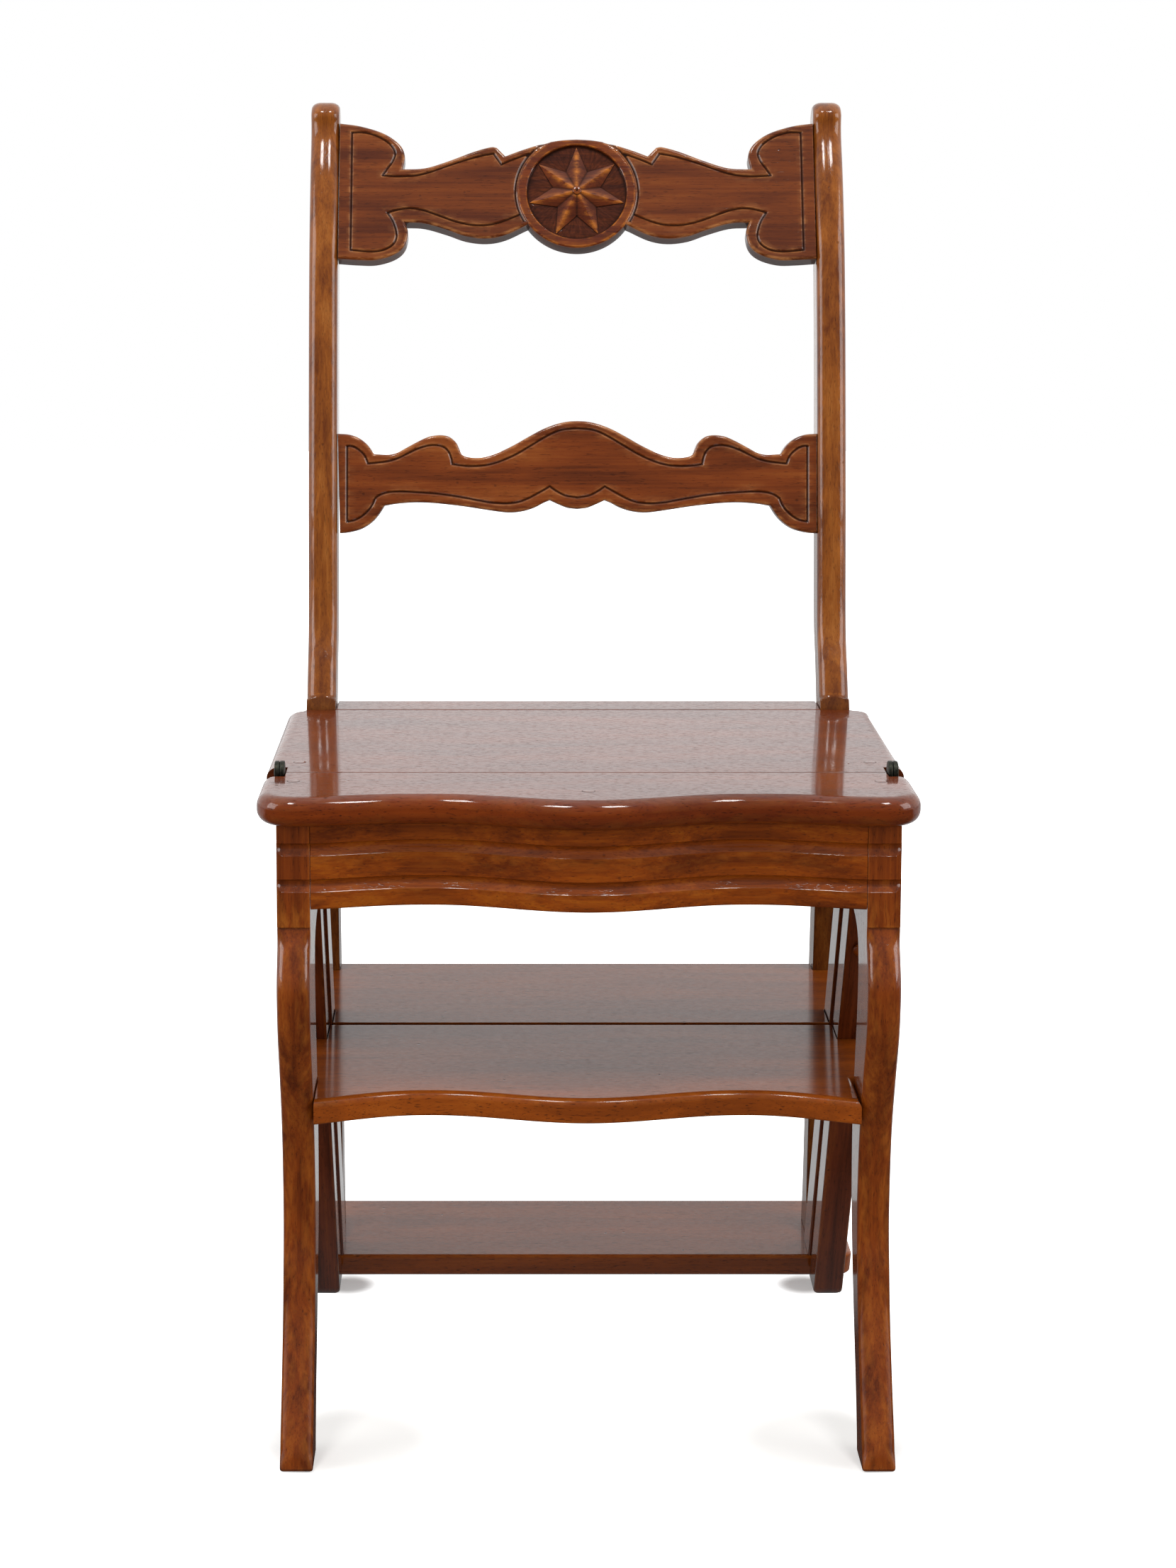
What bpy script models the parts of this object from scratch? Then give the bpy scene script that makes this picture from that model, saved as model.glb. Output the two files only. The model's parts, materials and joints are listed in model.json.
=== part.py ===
# Library step chair: a dining chair whose rear half turns over on two side hinges and becomes four steps.
# While a piece is modelled, y runs back from the hinge line, z up from the floor and x to the sitter's left.

import math

import bmesh
import bpy
from mathutils import Matrix, Vector

# Clearances and construction
GAP = 0.0003
OVERRUN = 0.005
FACE_REACH = 0.5

# Seat
SEAT_TOP = 0.456
SEAT_THICK = 0.020
SEAT_HALF_WIDTH = 0.219
SEAT_NOSE = 0.009
SEAT_FRONT_CORNER = 0.026
SEAT_REAR_CORNER = 0.014
SEAT_REAR = 0.243
SEAT_RECESS = 0.080
SEAT_CENTRE_BOW = 0.021
SEAT_END_BOW = 0.010
SEAT_STRIP_DEPTH = 0.038

# Serpentine fronts: where the middle's wave ends, where the end's wave starts and where it would crest,
# as shares of the seat's half width
SEAT_WAVE_SHARES = (0.47, 0.53, 0.89)
APRON_WAVE_SHARES = (0.47, 0.50, 0.927)
TREAD_WAVE_SHARES = (0.475, 0.50, 1.027)

# Hinge line and the slanted plane along which the two frames part
HINGE_RISE = 0.0004
HINGE_Z = SEAT_TOP + HINGE_RISE
SPLIT_SLOPE_SHARE = 0.594
FRAME_GAP = 0.006
HEIGHT = 2 * HINGE_Z

# Side members
SEAT_OVERHANG = 0.0135
SIDE_THICK = 0.022
SIDE_OUTER = SEAT_HALF_WIDTH - SEAT_OVERHANG
SIDE_INNER = SIDE_OUTER - SIDE_THICK
STRINGER_DEPTH = 0.036
FRONT_STRINGER_INSET = 0.001
REAR_STRINGER_INSET = 0.0025
STRINGER_TOE = 0.006

# Front legs: heights are shares of the shoulder height, reaches are shares of the block's reach
SHOULDER_Z = 0.367
SHOULDER_STEP = 0.0015
BLOCK_REACH = 0.0765
LEG_ROUND = 0.0065
BRACKET_DROP = 0.005
LEG_FRONT_SHARES = (
    (0.955, 1.09), (0.905, 1.185), (0.862, 1.19), (0.795, 1.12), (0.703, 0.915), (0.613, 0.735),
    (0.526, 0.647), (0.420, 0.615), (0.335, 0.690), (0.253, 0.790), (0.150, 0.993), (0.049, 1.210),
)
LEG_BACK_SHARES = (
    (0.049, 0.730), (0.150, 0.545), (0.253, 0.345), (0.335, 0.205), (0.420, 0.105), (0.526, 0.070),
    (0.613, 0.100), (0.703, 0.195), (0.795, 0.310), (0.862, 0.365), (0.915, 0.365), (0.950, 0.290),
    (0.972, 0.100),
)
FOOT_FRONT_SHARE = 1.260
FOOT_BACK_SHARE = 0.780
FOOT_CHAMFER = 0.002

# Apron and its two scooped hollows, which run on over the legs: shares of the height down and of the depth in
APRON_DROP = 0.057
APRON_THICK = 0.022
APRON_CENTRE_BOW = 0.022
APRON_END_BOW = 0.0145
HOLLOW_DROPS = (0.0123, 0.0365)
HOLLOW_HEIGHT = 0.0088
HOLLOW_DEPTH = 0.003
HOLLOW_SHARES = ((0, 0), (0.06, 0.45), (0.28, 0.93), (0.50, 1.0), (0.72, 0.78), (1.0, 0))
APRON_TENON_THICK = 0.008
APRON_TENON_HEIGHT = 0.034
TENON_LENGTH = 0.013
CORNER_BLOCK_LEG = 0.020
CORNER_BLOCK_HEIGHT = 0.040

# Treads
TREAD_TOP = 0.245
TREAD_THICK = 0.0165
TREAD_EASE = 0.003
TREAD_RECESS = 0.0425
TREAD_CENTRE_BOW = 0.018
TREAD_END_BOW = 0.029
TREAD_REAR = 0.296
TREAD_SET_IN = 0.0005
LOW_TREAD_THICK = 0.021
LOW_TREAD_BEHIND_POST = 0.0441
LOW_TREAD_OVERHANG = 0.0105
LOW_TREAD_HALF_WIDTH = SIDE_OUTER + LOW_TREAD_OVERHANG
LOW_TREAD_CORNER = 0.012

# Back posts: heights are shares of the height over or under the seat, and y is set back from the seat's rear
POST_DEPTH = 0.035
POST_TOP_SET_BACK = 0.112
POST_FOOT_CLEARANCE = 0.0179
STRINGER_REACH = SPLIT_SLOPE_SHARE * (SEAT_TOP - LOW_TREAD_THICK) + FRAME_GAP / 2 + STRINGER_DEPTH
POST_FOOT_SET_BACK = STRINGER_REACH + POST_FOOT_CLEARANCE - SEAT_REAR - GAP
POST_ROUND = 0.007
POST_BLOCK = 0.020
POST_TIP_RADIUS = 0.0165
POST_TIP_LEAN = math.radians(28)
POST_UPPER_SHARES = (
    (0.070, 0.120), (0.132, 0.235), (0.274, 0.305), (0.345, 0.335), (0.557, 0.455), (0.662, 0.530),
    (0.770, 0.635), (0.877, 0.795), (0.947, 0.940),
)
POST_UPPER_DEPTH_SHARES = (1.0, 1.0, 1.0, 1.0, 0.96, 0.95, 0.95, 0.97, 0.99)
POST_LOWER_SHARES = ((0.085, 0.085), (0.240, 0.250), (0.400, 0.430), (0.630, 0.650), (0.860, 0.860))
POST_BRACKET_RISE = 0.036
POST_BRACKET_HEIGHT = 0.022
POST_LOWER_DEPTH_SHARE = 0.94
POST_FOOT_REAR = SEAT_REAR + POST_FOOT_SET_BACK + POST_LOWER_DEPTH_SHARE * POST_DEPTH
LOW_TREAD_REAR = POST_FOOT_REAR + LOW_TREAD_BEHIND_POST

# Back rails: their middles stand at shares of the height over the seat
CREST_RISE_SHARE = 0.8516
MID_RISE_SHARE = 0.3727
CREST_Z = SEAT_TOP + CREST_RISE_SHARE * (HEIGHT - SEAT_TOP)
CREST_BACK = 0.0125
CREST_THICK = 0.015
CREST_TILT = math.radians(22)
CREST_HALF_HEIGHT = 0.057
CREST_TENON_HALF = 0.036
ROUNDEL_RADIUS = 0.046
ROUNDEL_DROP = 0.0034
ROUNDEL_RIM = 0.008
ROUNDEL_SINK = 0.003
STAR_RADIUS = 0.0372
STAR_VALLEY_SHARE = 0.47
STAR_POINTS = 7
STAR_RELIEF = 0.0045
STAR_EDGE = 0.0007
MID_Z = SEAT_TOP + MID_RISE_SHARE * (HEIGHT - SEAT_TOP)
MID_BACK = 0.013
MID_THICK = 0.015
MID_TILT = math.radians(7.5)
MID_HALF_HEIGHT = 0.044
MID_TENON_HALF = 0.020
REAR_RAIL_THICK = 0.018
REAR_RAIL_HEIGHT = 0.050
REAR_RAIL_SET_BACK = 0.008
RAIL_TENON_SHOULDER = 0.007
SIDE_RAIL_INSET = 0.002
SIDE_RAIL_HEIGHT = 0.050
SIDE_TENON_THICK = 0.008

# Outlines of the back rails, from the post to the middle: x as a share of the half length, height as a share
# of the half height. Each run is smooth, and runs meet at the outline's cusps.
CREST_TOP_SHARES = (
    ((1.00, 0.94), (0.91, 0.896), (0.813, 0.792), (0.747, 0.635), (0.724, 0.47), (0.7325, 0.274)),
    ((0.7325, 0.274), (0.64, 0.29), (0.545, 0.386), (0.435, 0.526), (0.336, 0.593)),
    ((0.336, 0.593), (0.30, 0.463)),
    ((0.30, 0.463), (0.235, 0.546), (0.15, 0.633), (0.06, 0.69), (0.0, 0.702)),
)
CREST_BOTTOM_SHARES = (
    ((0.205, -0.525), (0.30, -0.675), (0.38, -0.725), (0.465, -0.693), (0.545, -0.60), (0.64, -0.508),
     (0.721, -0.493)),
    ((0.721, -0.493), (0.708, -0.64), (0.722, -0.83), (0.765, -0.955), (0.84, -1.03), (0.92, -1.03), (1.00, -1.01)),
)
MID_TOP_SHARES = (
    ((1.00, 0.76), (0.93, 0.70), (0.875, 0.54), (0.85, 0.36)),
    ((0.85, 0.36), (0.79, 0.36), (0.72, 0.455), (0.64, 0.635), (0.57, 0.715), (0.525, 0.66), (0.50, 0.50),
     (0.483, 0.35)),
    ((0.483, 0.35), (0.415, 0.33), (0.335, 0.40), (0.26, 0.57), (0.18, 0.78), (0.095, 0.94), (0.03, 0.995),
     (0.0, 1.0)),
)
MID_BOTTOM_SHARES = (
    ((0.0, -0.55), (0.065, -0.495), (0.108, -0.40)),
    ((0.108, -0.40), (0.155, -0.50), (0.205, -0.58), (0.285, -0.62), (0.39, -0.59), (0.50, -0.53),
     (0.61, -0.475), (0.73, -0.475), (0.79, -0.535)),
    ((0.79, -0.535), (0.818, -0.67), (0.86, -0.85), (0.92, -0.96), (1.00, -0.99)),
)

# Hinges
EYE_RADIUS = 0.0075
EYE_THICK = 0.0032
STRAP_THICK = 0.0026
STRAP_HALF_WIDTH = 0.006
STRAP_DROP = 0.066
CRANK_START = 0.031
CRANK_RUN = 0.005
PIN_RADIUS = 0.0025
PIN_HEAD_RADIUS = 0.0042
PIN_HEAD = 0.0015
NOTCH_FRONT = 0.014
NOTCH_REAR = 0.017
NOTCH_SPLAY = 0.0125
SCREW_SHARES = (0.70, 0.95)
SCREW_HEAD_RADIUS = 0.0032
SCREW_HEAD = 0.0012
SCREW_RADIUS = 0.0015
SCREW_LENGTH = 0.012

# Seat plugs and turned buttons
PLUG_RADIUS = 0.0045
PLUG_DEPTH = 0.006
PLUG_EDGE_MARGIN = 0.022
PLUG_SIDE_X = SEAT_HALF_WIDTH - PLUG_EDGE_MARGIN
FRONT_PLUG_Y = -0.030
CENTRE_PLUG_Y = -0.063
REAR_PLUG_Y = 0.036
STRINGER_BUTTON_RADIUS = 0.0062
STRINGER_BUTTON_HEIGHT = 0.0048
POST_BUTTON_RADIUS = 0.008
POST_BUTTON_HEIGHT = 0.0085
BUTTON_LIFT = 0.0005
BUTTON_RIM = 0.0012
BUTTON_PEG_RADIUS = 0.003
BUTTON_PEG_LENGTH = 0.010
STRINGER_BUTTON_Z = 0.323
POST_BUTTON_Z = 0.076

# The model's origin is the middle of its base, so the hinge line lies this far from it
SEAT_FRONT = SEAT_RECESS + SEAT_CENTRE_BOW
HINGE_Y = (SEAT_FRONT - LOW_TREAD_REAR) / 2

SIDES = (("left", -1), ("right", 1))
WOOD = ((0.230, 0.062, 0.020), 0.22, 0.0)
WORN_WOOD = ((0.300, 0.130, 0.075), 0.30, 0.0)
HIDDEN_WOOD = ((0.320, 0.170, 0.080), 0.60, 0.0)
IRON = ((0.060, 0.055, 0.050), 0.38, 1.0)


for old in list(bpy.data.objects):
    bpy.data.objects.remove(old)

chair = bpy.data.collections.new("library_step_chair")
cutters = bpy.data.collections.new("cutters")
bpy.context.scene.collection.children.link(chair)
bpy.context.scene.collection.children.link(cutters)

front_frame = bpy.data.objects.new("front_frame_pivot", None)
front_frame.location = (0, HINGE_Y, 0)
rear_frame = bpy.data.objects.new("rear_frame_pivot", None)
rear_frame.location = (0, HINGE_Y, HINGE_Z)
chair.objects.link(front_frame)
chair.objects.link(rear_frame)


# Outlines

def smooth(points, steps):
    """A Catmull-Rom curve through the points, with the given number of steps between neighbours."""
    first = [2 * a - b for a, b in zip(points[0], points[1])]
    last = [2 * a - b for a, b in zip(points[-1], points[-2])]
    run = [first, *points, last]
    out = [tuple(points[0])]
    for i in range(1, len(run) - 2):
        before, here, there, after = run[i - 1:i + 3]
        for k in range(1, steps + 1):
            t = k / steps
            point = []
            for a, b, c, d in zip(before, here, there, after):
                slope = c - a
                bend = 2 * a - 5 * b + 4 * c - d
                twist = 3 * b - a - 3 * c + d
                point.append(b + (slope * t + bend * t ** 2 + twist * t ** 3) / 2)
            out.append(tuple(point))
    return out


def arc(centre, radius, start, end, steps):
    """Points on a circle from one angle to another, in radians."""
    angles = [start + (end - start) * k / steps for k in range(steps + 1)]
    return [(centre[0] + radius * math.cos(a), centre[1] + radius * math.sin(a)) for a in angles]


def mirrored(points):
    """The points reflected in x, in reverse order, to close a symmetric outline."""
    return [(-x, y) for x, y in reversed(points)]


def without_repeats(points):
    """The outline without points that lie on their neighbour."""
    return [p for i, p in enumerate(points) if math.dist(p, points[i - 1]) > GAP / 10]


def serpentine(x, wave_shares, centre_bow, end_bow):
    """How far a serpentine edge stands in front of its hollows: forward in the middle and at its ends."""
    x = abs(x)
    middle_end, end_start, crest = [share * SEAT_HALF_WIDTH for share in wave_shares]
    if x < middle_end:
        return centre_bow * (1 + math.cos(math.pi * x / middle_end)) / 2
    if x < end_start:
        return 0
    return end_bow * (1 - math.cos(math.pi * (x - end_start) / (crest - end_start))) / 2


def split_y(z):
    """Where the slanted parting plane stands at a height."""
    return SPLIT_SLOPE_SHARE * (SEAT_TOP - z)


def front_stringer_front(z):
    return split_y(z) - FRAME_GAP / 2 - STRINGER_DEPTH


def front_stringer_back(z):
    return split_y(z) - FRAME_GAP / 2


def rear_stringer_front(z):
    return split_y(z) + FRAME_GAP / 2


def rear_stringer_back(z):
    return split_y(z) + FRAME_GAP / 2 + STRINGER_DEPTH


def height_of(points, value):
    """The other coordinate of a run at a height, read between its points."""
    for (y0, z0), (y1, z1) in zip(points, points[1:]):
        if min(z0, z1) <= value <= max(z0, z1) and z0 != z1:
            return y0 + (y1 - y0) * (value - z0) / (z1 - z0)
    raise ValueError("height outside the run")


# Solids

def finish(obj, look):
    """Gives the piece its own material."""
    colour, roughness, metallic = look
    made = bpy.data.materials.new(obj.name + "_finish")
    made.use_nodes = True
    shader = made.node_tree.nodes["Principled BSDF"]
    shader.inputs["Base Color"].default_value = (*colour, 1)
    shader.inputs["Roughness"].default_value = roughness
    shader.inputs["Metallic"].default_value = metallic
    obj.data.materials.clear()
    obj.data.materials.append(made)


def place(obj, frame, look):
    """Makes the object a finished piece of one of the two frames."""
    chair.objects.link(obj)
    obj.parent = frame
    if frame is rear_frame:
        obj.location.z -= HINGE_Z
    finish(obj, look)
    return obj


def place_cutter(obj):
    """Makes the object a hidden guide at the front frame's place."""
    cutters.objects.link(obj)
    obj.parent = front_frame
    obj.hide_render = True
    obj.display_type = "WIRE"
    return obj


PLANES = {
    "XY": Matrix(((1, 0, 0), (0, 1, 0), (0, 0, 1))),
    "YZ": Matrix(((0, 0, 1), (1, 0, 0), (0, 1, 0))),
    "XZ": Matrix(((1, 0, 0), (0, 0, -1), (0, 1, 0))),
}


def prism(name, outline, low, high, plane):
    """A flat outline with a thickness: low and high are along x, y or z, square to the plane."""
    flat = bpy.data.curves.new(name, "CURVE")
    flat.dimensions = "2D"
    flat.fill_mode = "BOTH"
    flat.extrude = (high - low) / 2
    spline = flat.splines.new("POLY")
    outline = without_repeats(outline)
    spline.points.add(len(outline) - 1)
    for point, (u, v) in zip(spline.points, outline):
        point.co = (u, v, 0, 1)
    spline.use_cyclic_u = True
    guide = bpy.data.objects.new(name + "_outline", flat)
    middle = (low + high) / 2
    turn = PLANES[plane].to_4x4()
    normal = turn.to_3x3() @ Vector((0, 0, 1))
    guide.matrix_world = Matrix.Translation(normal * (-middle if plane == "XZ" else middle)) @ turn
    return solid_from_curve(name, guide)


def solid_from_curve(name, guide):
    """The curve object as a welded mesh object in the place of the curve."""
    cutters.objects.link(guide)
    bpy.context.view_layer.update()
    mesh = bpy.data.meshes.new_from_object(guide.evaluated_get(bpy.context.evaluated_depsgraph_get()))
    mesh.name = name
    mesh.transform(guide.matrix_world)
    shape = bmesh.new()
    shape.from_mesh(mesh)
    bmesh.ops.remove_doubles(shape, verts=shape.verts, dist=GAP / 30)
    bmesh.ops.dissolve_limit(shape, angle_limit=math.radians(0.05), verts=shape.verts, edges=shape.edges)
    bmesh.ops.recalc_face_normals(shape, faces=shape.faces)
    shape.to_mesh(mesh)
    shape.free()
    bpy.data.objects.remove(guide)
    return bpy.data.objects.new(name, mesh)


def block(name, low, high):
    """A box between two corners."""
    shape = bmesh.new()
    bmesh.ops.create_cube(shape, size=1)
    size = [b - a for a, b in zip(low, high)]
    middle = [(a + b) / 2 for a, b in zip(low, high)]
    bmesh.ops.scale(shape, vec=size, verts=shape.verts)
    bmesh.ops.translate(shape, vec=middle, verts=shape.verts)
    mesh = bpy.data.meshes.new(name)
    shape.to_mesh(mesh)
    shape.free()
    return bpy.data.objects.new(name, mesh)


def rod(name, radius, low, high, centre, sides, axis="X"):
    """A cylinder from low to high along an axis; centre gives the other two coordinates."""
    shape = bmesh.new()
    sizes = {"segments": sides, "radius1": radius, "radius2": radius, "depth": high - low}
    bmesh.ops.create_cone(shape, cap_ends=True, **sizes)
    middle = (low + high) / 2
    if axis == "X":
        bmesh.ops.rotate(shape, matrix=Matrix.Rotation(math.pi / 2, 3, "Y"), verts=shape.verts)
        where = (middle, centre[0], centre[1])
    else:
        where = (centre[0], centre[1], middle)
    bmesh.ops.translate(shape, vec=where, verts=shape.verts)
    mesh = bpy.data.meshes.new(name)
    shape.to_mesh(mesh)
    shape.free()
    return bpy.data.objects.new(name, mesh)


def turned(name, profile, steps):
    """A turned piece round its own z axis, from a profile that runs down its outer side."""
    mesh = bpy.data.meshes.new(name)
    mesh.from_pydata([(r, 0, z) for r, z in profile], [(i, i + 1) for i in range(len(profile) - 1)], [])
    obj = bpy.data.objects.new(name, mesh)
    lathe = obj.modifiers.new("turn", "SCREW")
    lathe.steps = lathe.render_steps = steps
    lathe.use_merge_vertices = True
    lathe.merge_threshold = GAP / 30
    lathe.use_smooth_shade = True
    return obj


def shape_with(obj, tool, operation):
    """Cuts the piece with the tool or joins the tool to it."""
    place_cutter(tool)
    step = obj.modifiers.new(tool.name, "BOOLEAN")
    step.operation = operation
    step.object = tool
    step.solver = "EXACT"


def cut(obj, tool):
    shape_with(obj, tool, "DIFFERENCE")


def join(obj, tool):
    shape_with(obj, tool, "UNION")


def soften(obj, runs, axes, radius, segments):
    """Rounds the edges that follow runs of the outline; axes picks the outline's two coordinates."""
    def key(p):
        return tuple(round(c / GAP * 20) for c in p)

    steps = {frozenset((key(a), key(b))) for run in runs for a, b in zip(run, run[1:])}
    shape = bmesh.new()
    shape.from_mesh(obj.data)
    weight = shape.edges.layers.float.new("bevel_weight_edge")
    for edge in shape.edges:
        ends = [key([v.co[a] for a in axes]) for v in edge.verts]
        if frozenset(ends) in steps:
            edge[weight] = 1
    shape.to_mesh(obj.data)
    shape.free()
    rounding = obj.modifiers.new("rounding", "BEVEL")
    rounding.limit_method = "WEIGHT"
    rounding.width = radius
    rounding.segments = segments
    rounding.use_clamp_overlap = False


def shade(obj):
    """Shades a piece smooth up to a crease angle."""
    obj.data.shade_smooth()
    obj.data.set_sharp_from_angle(angle=math.radians(35))


# Front frame

def hollow_points(face, top):
    """Scooped hollow in a front face, from its upper edge down to its lip."""
    return [(face + deep * HOLLOW_DEPTH, top - down * HOLLOW_HEIGHT) for down, deep in HOLLOW_SHARES]


def leg_outline():
    """The front leg's side view; the front run below the shoulder comes back too, for its rounding."""
    top = SEAT_TOP - SEAT_THICK - GAP
    face = -BLOCK_REACH
    block_front = [(face, top)]
    for drop in HOLLOW_DROPS:
        block_front += hollow_points(face, SEAT_TOP - SEAT_THICK - drop)
    block_front.append((face, SHOULDER_Z))
    knee = [(face + SHOULDER_STEP, SHOULDER_Z)]
    knee += [(-share * BLOCK_REACH, height * SHOULDER_Z) for height, share in LEG_FRONT_SHARES]
    knee.append((-FOOT_FRONT_SHARE * BLOCK_REACH, FOOT_CHAMFER))
    front = smooth(knee, 2)
    sole = [
        (-FOOT_FRONT_SHARE * BLOCK_REACH + FOOT_CHAMFER, 0),
        (-FOOT_BACK_SHARE * BLOCK_REACH, 0),
    ]
    back = [sole[-1]]
    back += [(-share * BLOCK_REACH, height * SHOULDER_Z) for height, share in LEG_BACK_SHARES]
    bracket_top = SHOULDER_Z - BRACKET_DROP
    back.append((front_stringer_front(bracket_top) - GAP * 2, bracket_top))
    behind = smooth(back, 2)
    crown = [(front_stringer_front(top) - GAP * 2, top)]
    return block_front + front + sole[:1] + behind + crown, front, behind


def front_leg(name, side):
    outline, front, _ = leg_outline()
    inner, outer = sorted((side * SIDE_INNER, side * SIDE_OUTER))
    leg = prism(name, outline, inner, outer, "YZ")
    soften(leg, [front], (1, 2), LEG_ROUND, 2)
    low, high = apron_tenon(side, GAP)
    cut(leg, block(name + "_mortise", low, high))
    shade(leg)
    return place(leg, front_frame, WOOD)


def apron_tenon(side, ease):
    """Corners of the apron's tenon, grown by the ease on every side that its mortise touches."""
    top = SEAT_TOP - SEAT_THICK - (APRON_DROP - APRON_TENON_HEIGHT) / 2
    y = -BLOCK_REACH + APRON_THICK / 2
    ends = sorted((side * (SIDE_INNER - OVERRUN), side * (SIDE_INNER + TENON_LENGTH + ease)))
    low = (ends[0], y - APRON_TENON_THICK / 2 - ease, top - APRON_TENON_HEIGHT - ease)
    high = (ends[1], y + APRON_TENON_THICK / 2 + ease, top + ease)
    return low, high


def apron_face(x):
    """The apron's front face follows the seat's serpentine and meets the leg blocks flush."""
    at_leg = serpentine(SIDE_INNER - GAP, APRON_WAVE_SHARES, APRON_CENTRE_BOW, APRON_END_BOW)
    return -BLOCK_REACH + at_leg - serpentine(x, APRON_WAVE_SHARES, APRON_CENTRE_BOW, APRON_END_BOW)


def apron():
    span = SIDE_INNER - GAP
    steps = 28
    top = SEAT_TOP - SEAT_THICK - GAP
    bottom = SEAT_TOP - SEAT_THICK - APRON_DROP
    section = [(0, top)]
    for drop in HOLLOW_DROPS:
        section += hollow_points(0, SEAT_TOP - SEAT_THICK - drop)
    section += [(0, bottom), (APRON_THICK, bottom), (APRON_THICK, top)]
    mould = bpy.data.curves.new("apron_section", "CURVE")
    mould.dimensions = "2D"
    edge = mould.splines.new("POLY")
    edge.points.add(len(section) - 1)
    for point, (depth, z) in zip(edge.points, section):
        point.co = (-depth, z, 0, 1)
    edge.use_cyclic_u = True
    mould_object = bpy.data.objects.new("apron_section", mould)
    cutters.objects.link(mould_object)
    way = bpy.data.curves.new("apron", "CURVE")
    way.dimensions = "3D"
    way.twist_mode = "Z_UP"
    way.bevel_mode = "OBJECT"
    way.bevel_object = mould_object
    way.use_fill_caps = True
    line = way.splines.new("POLY")
    line.points.add(steps)
    reach = span + OVERRUN
    for k, point in enumerate(line.points):
        x = reach * (2 * k / steps - 1)
        point.co = (x, apron_face(x), 0, 1)
    front = solid_from_curve("apron", bpy.data.objects.new("apron_way", way))
    bpy.data.objects.remove(mould_object)
    for side_name, side in SIDES:
        ends = sorted((side * span, side * (reach + APRON_THICK)))
        low = (ends[0], -FACE_REACH, bottom - OVERRUN)
        cut(front, block("apron_end_" + side_name, low, (ends[1], FACE_REACH, top + OVERRUN)))
    for side_name, side in SIDES:
        low, high = apron_tenon(side, 0)
        join(front, block("apron_tenon_" + side_name, low, high))
    shade(front)
    return place(front, front_frame, WOOD)


def seat_front_edge():
    """The front seat board's rounded edge, from its right end at the parting line to its left end."""
    corner_x = SEAT_HALF_WIDTH - SEAT_FRONT_CORNER
    steps = 12
    corner_y = -(SEAT_RECESS + SEAT_END_BOW) + SEAT_FRONT_CORNER
    side = [(SEAT_HALF_WIDTH, -GAP)]
    corner = arc((corner_x, corner_y), SEAT_FRONT_CORNER, 0, -math.pi / 2, 5)
    half = []
    for k in range(1, steps + 1):
        x = corner_x * (1 - k / steps)
        bow = serpentine(x, SEAT_WAVE_SHARES, SEAT_CENTRE_BOW, SEAT_END_BOW)
        half.append((x, -SEAT_RECESS - bow))
    right = side + corner + half
    return right + mirrored(right)[1:]


def hinge_notch(name, side, start, end, splay):
    """The cutter of a hinge notch, open to the seat's side; splay runs its lower end further back."""
    low = SEAT_TOP - SEAT_THICK - OVERRUN
    high = SEAT_TOP + OVERRUN
    shape = [(start, low), (end + splay, low), (end, high), (start, high)]
    inner, outer = sorted((side * (hinge_inner() - GAP * 2), side * (SEAT_HALF_WIDTH + OVERRUN)))
    return prism(name, shape, inner, outer, "YZ")


def hinge_inner():
    """Where the hinge's inmost eye begins, just outside the front stringer."""
    return SIDE_OUTER - FRONT_STRINGER_INSET + GAP


def plug_place(which, side):
    """Where a plug stands on the seat."""
    return {
        "front": (side * PLUG_SIDE_X, FRONT_PLUG_Y),
        "centre": (0, CENTRE_PLUG_Y),
        "rear": (side * PLUG_SIDE_X, REAR_PLUG_Y),
    }[which]


def plug(name, where, frame):
    made = rod(name, PLUG_RADIUS, SEAT_TOP - PLUG_DEPTH, SEAT_TOP, where, 16, "Z")
    return place(made, frame, WORN_WOOD)


def plug_hole(name, where):
    return rod(name, PLUG_RADIUS + GAP, SEAT_TOP - PLUG_DEPTH - GAP, SEAT_TOP + OVERRUN, where, 16, "Z")


def front_seat_board():
    edge = seat_front_edge()
    board = prism("front_seat_board", edge, SEAT_TOP - SEAT_THICK, SEAT_TOP, "XY")
    soften(board, [edge], (0, 1), SEAT_NOSE, 3)
    for side_name, side in SIDES:
        cut(board, hinge_notch("front_notch_" + side_name, side, -NOTCH_FRONT, OVERRUN, 0))
        cut(board, plug_hole("front_plug_hole_" + side_name, plug_place("front", side)))
    cut(board, plug_hole("centre_plug_hole", plug_place("centre", 0)))
    shade(board)
    place(board, front_frame, WORN_WOOD)
    for side_name, side in SIDES:
        plug("front_seat_plug_" + side_name, plug_place("front", side), front_frame)
    plug("front_seat_plug_centre", plug_place("centre", 0), front_frame)


def front_stringer_outline(grow):
    """The front stringer's side view, grown by a clearance."""
    top = SEAT_TOP - SEAT_THICK - GAP
    return [
        (front_stringer_front(top) - grow, top + grow),
        (front_stringer_front(STRINGER_TOE) - grow, STRINGER_TOE),
        (front_stringer_front(0) + STRINGER_TOE / 2 - grow, -grow),
        (front_stringer_back(0) + grow, -grow),
        (front_stringer_back(top) + grow, top + grow),
    ]


def front_stringer_faces(side, grow):
    return sorted((
        side * (SIDE_INNER - FRONT_STRINGER_INSET - grow),
        side * (SIDE_OUTER - FRONT_STRINGER_INSET + grow),
    ))


def front_stringer(name, side):
    inner, outer = front_stringer_faces(side, 0)
    made = prism(name, front_stringer_outline(0), inner, outer, "YZ")
    drill_strap_screws(made, name, side, front_strap_line())
    drill_button(made, name, stringer_button_place(side))
    return place(made, front_frame, WOOD)


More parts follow.
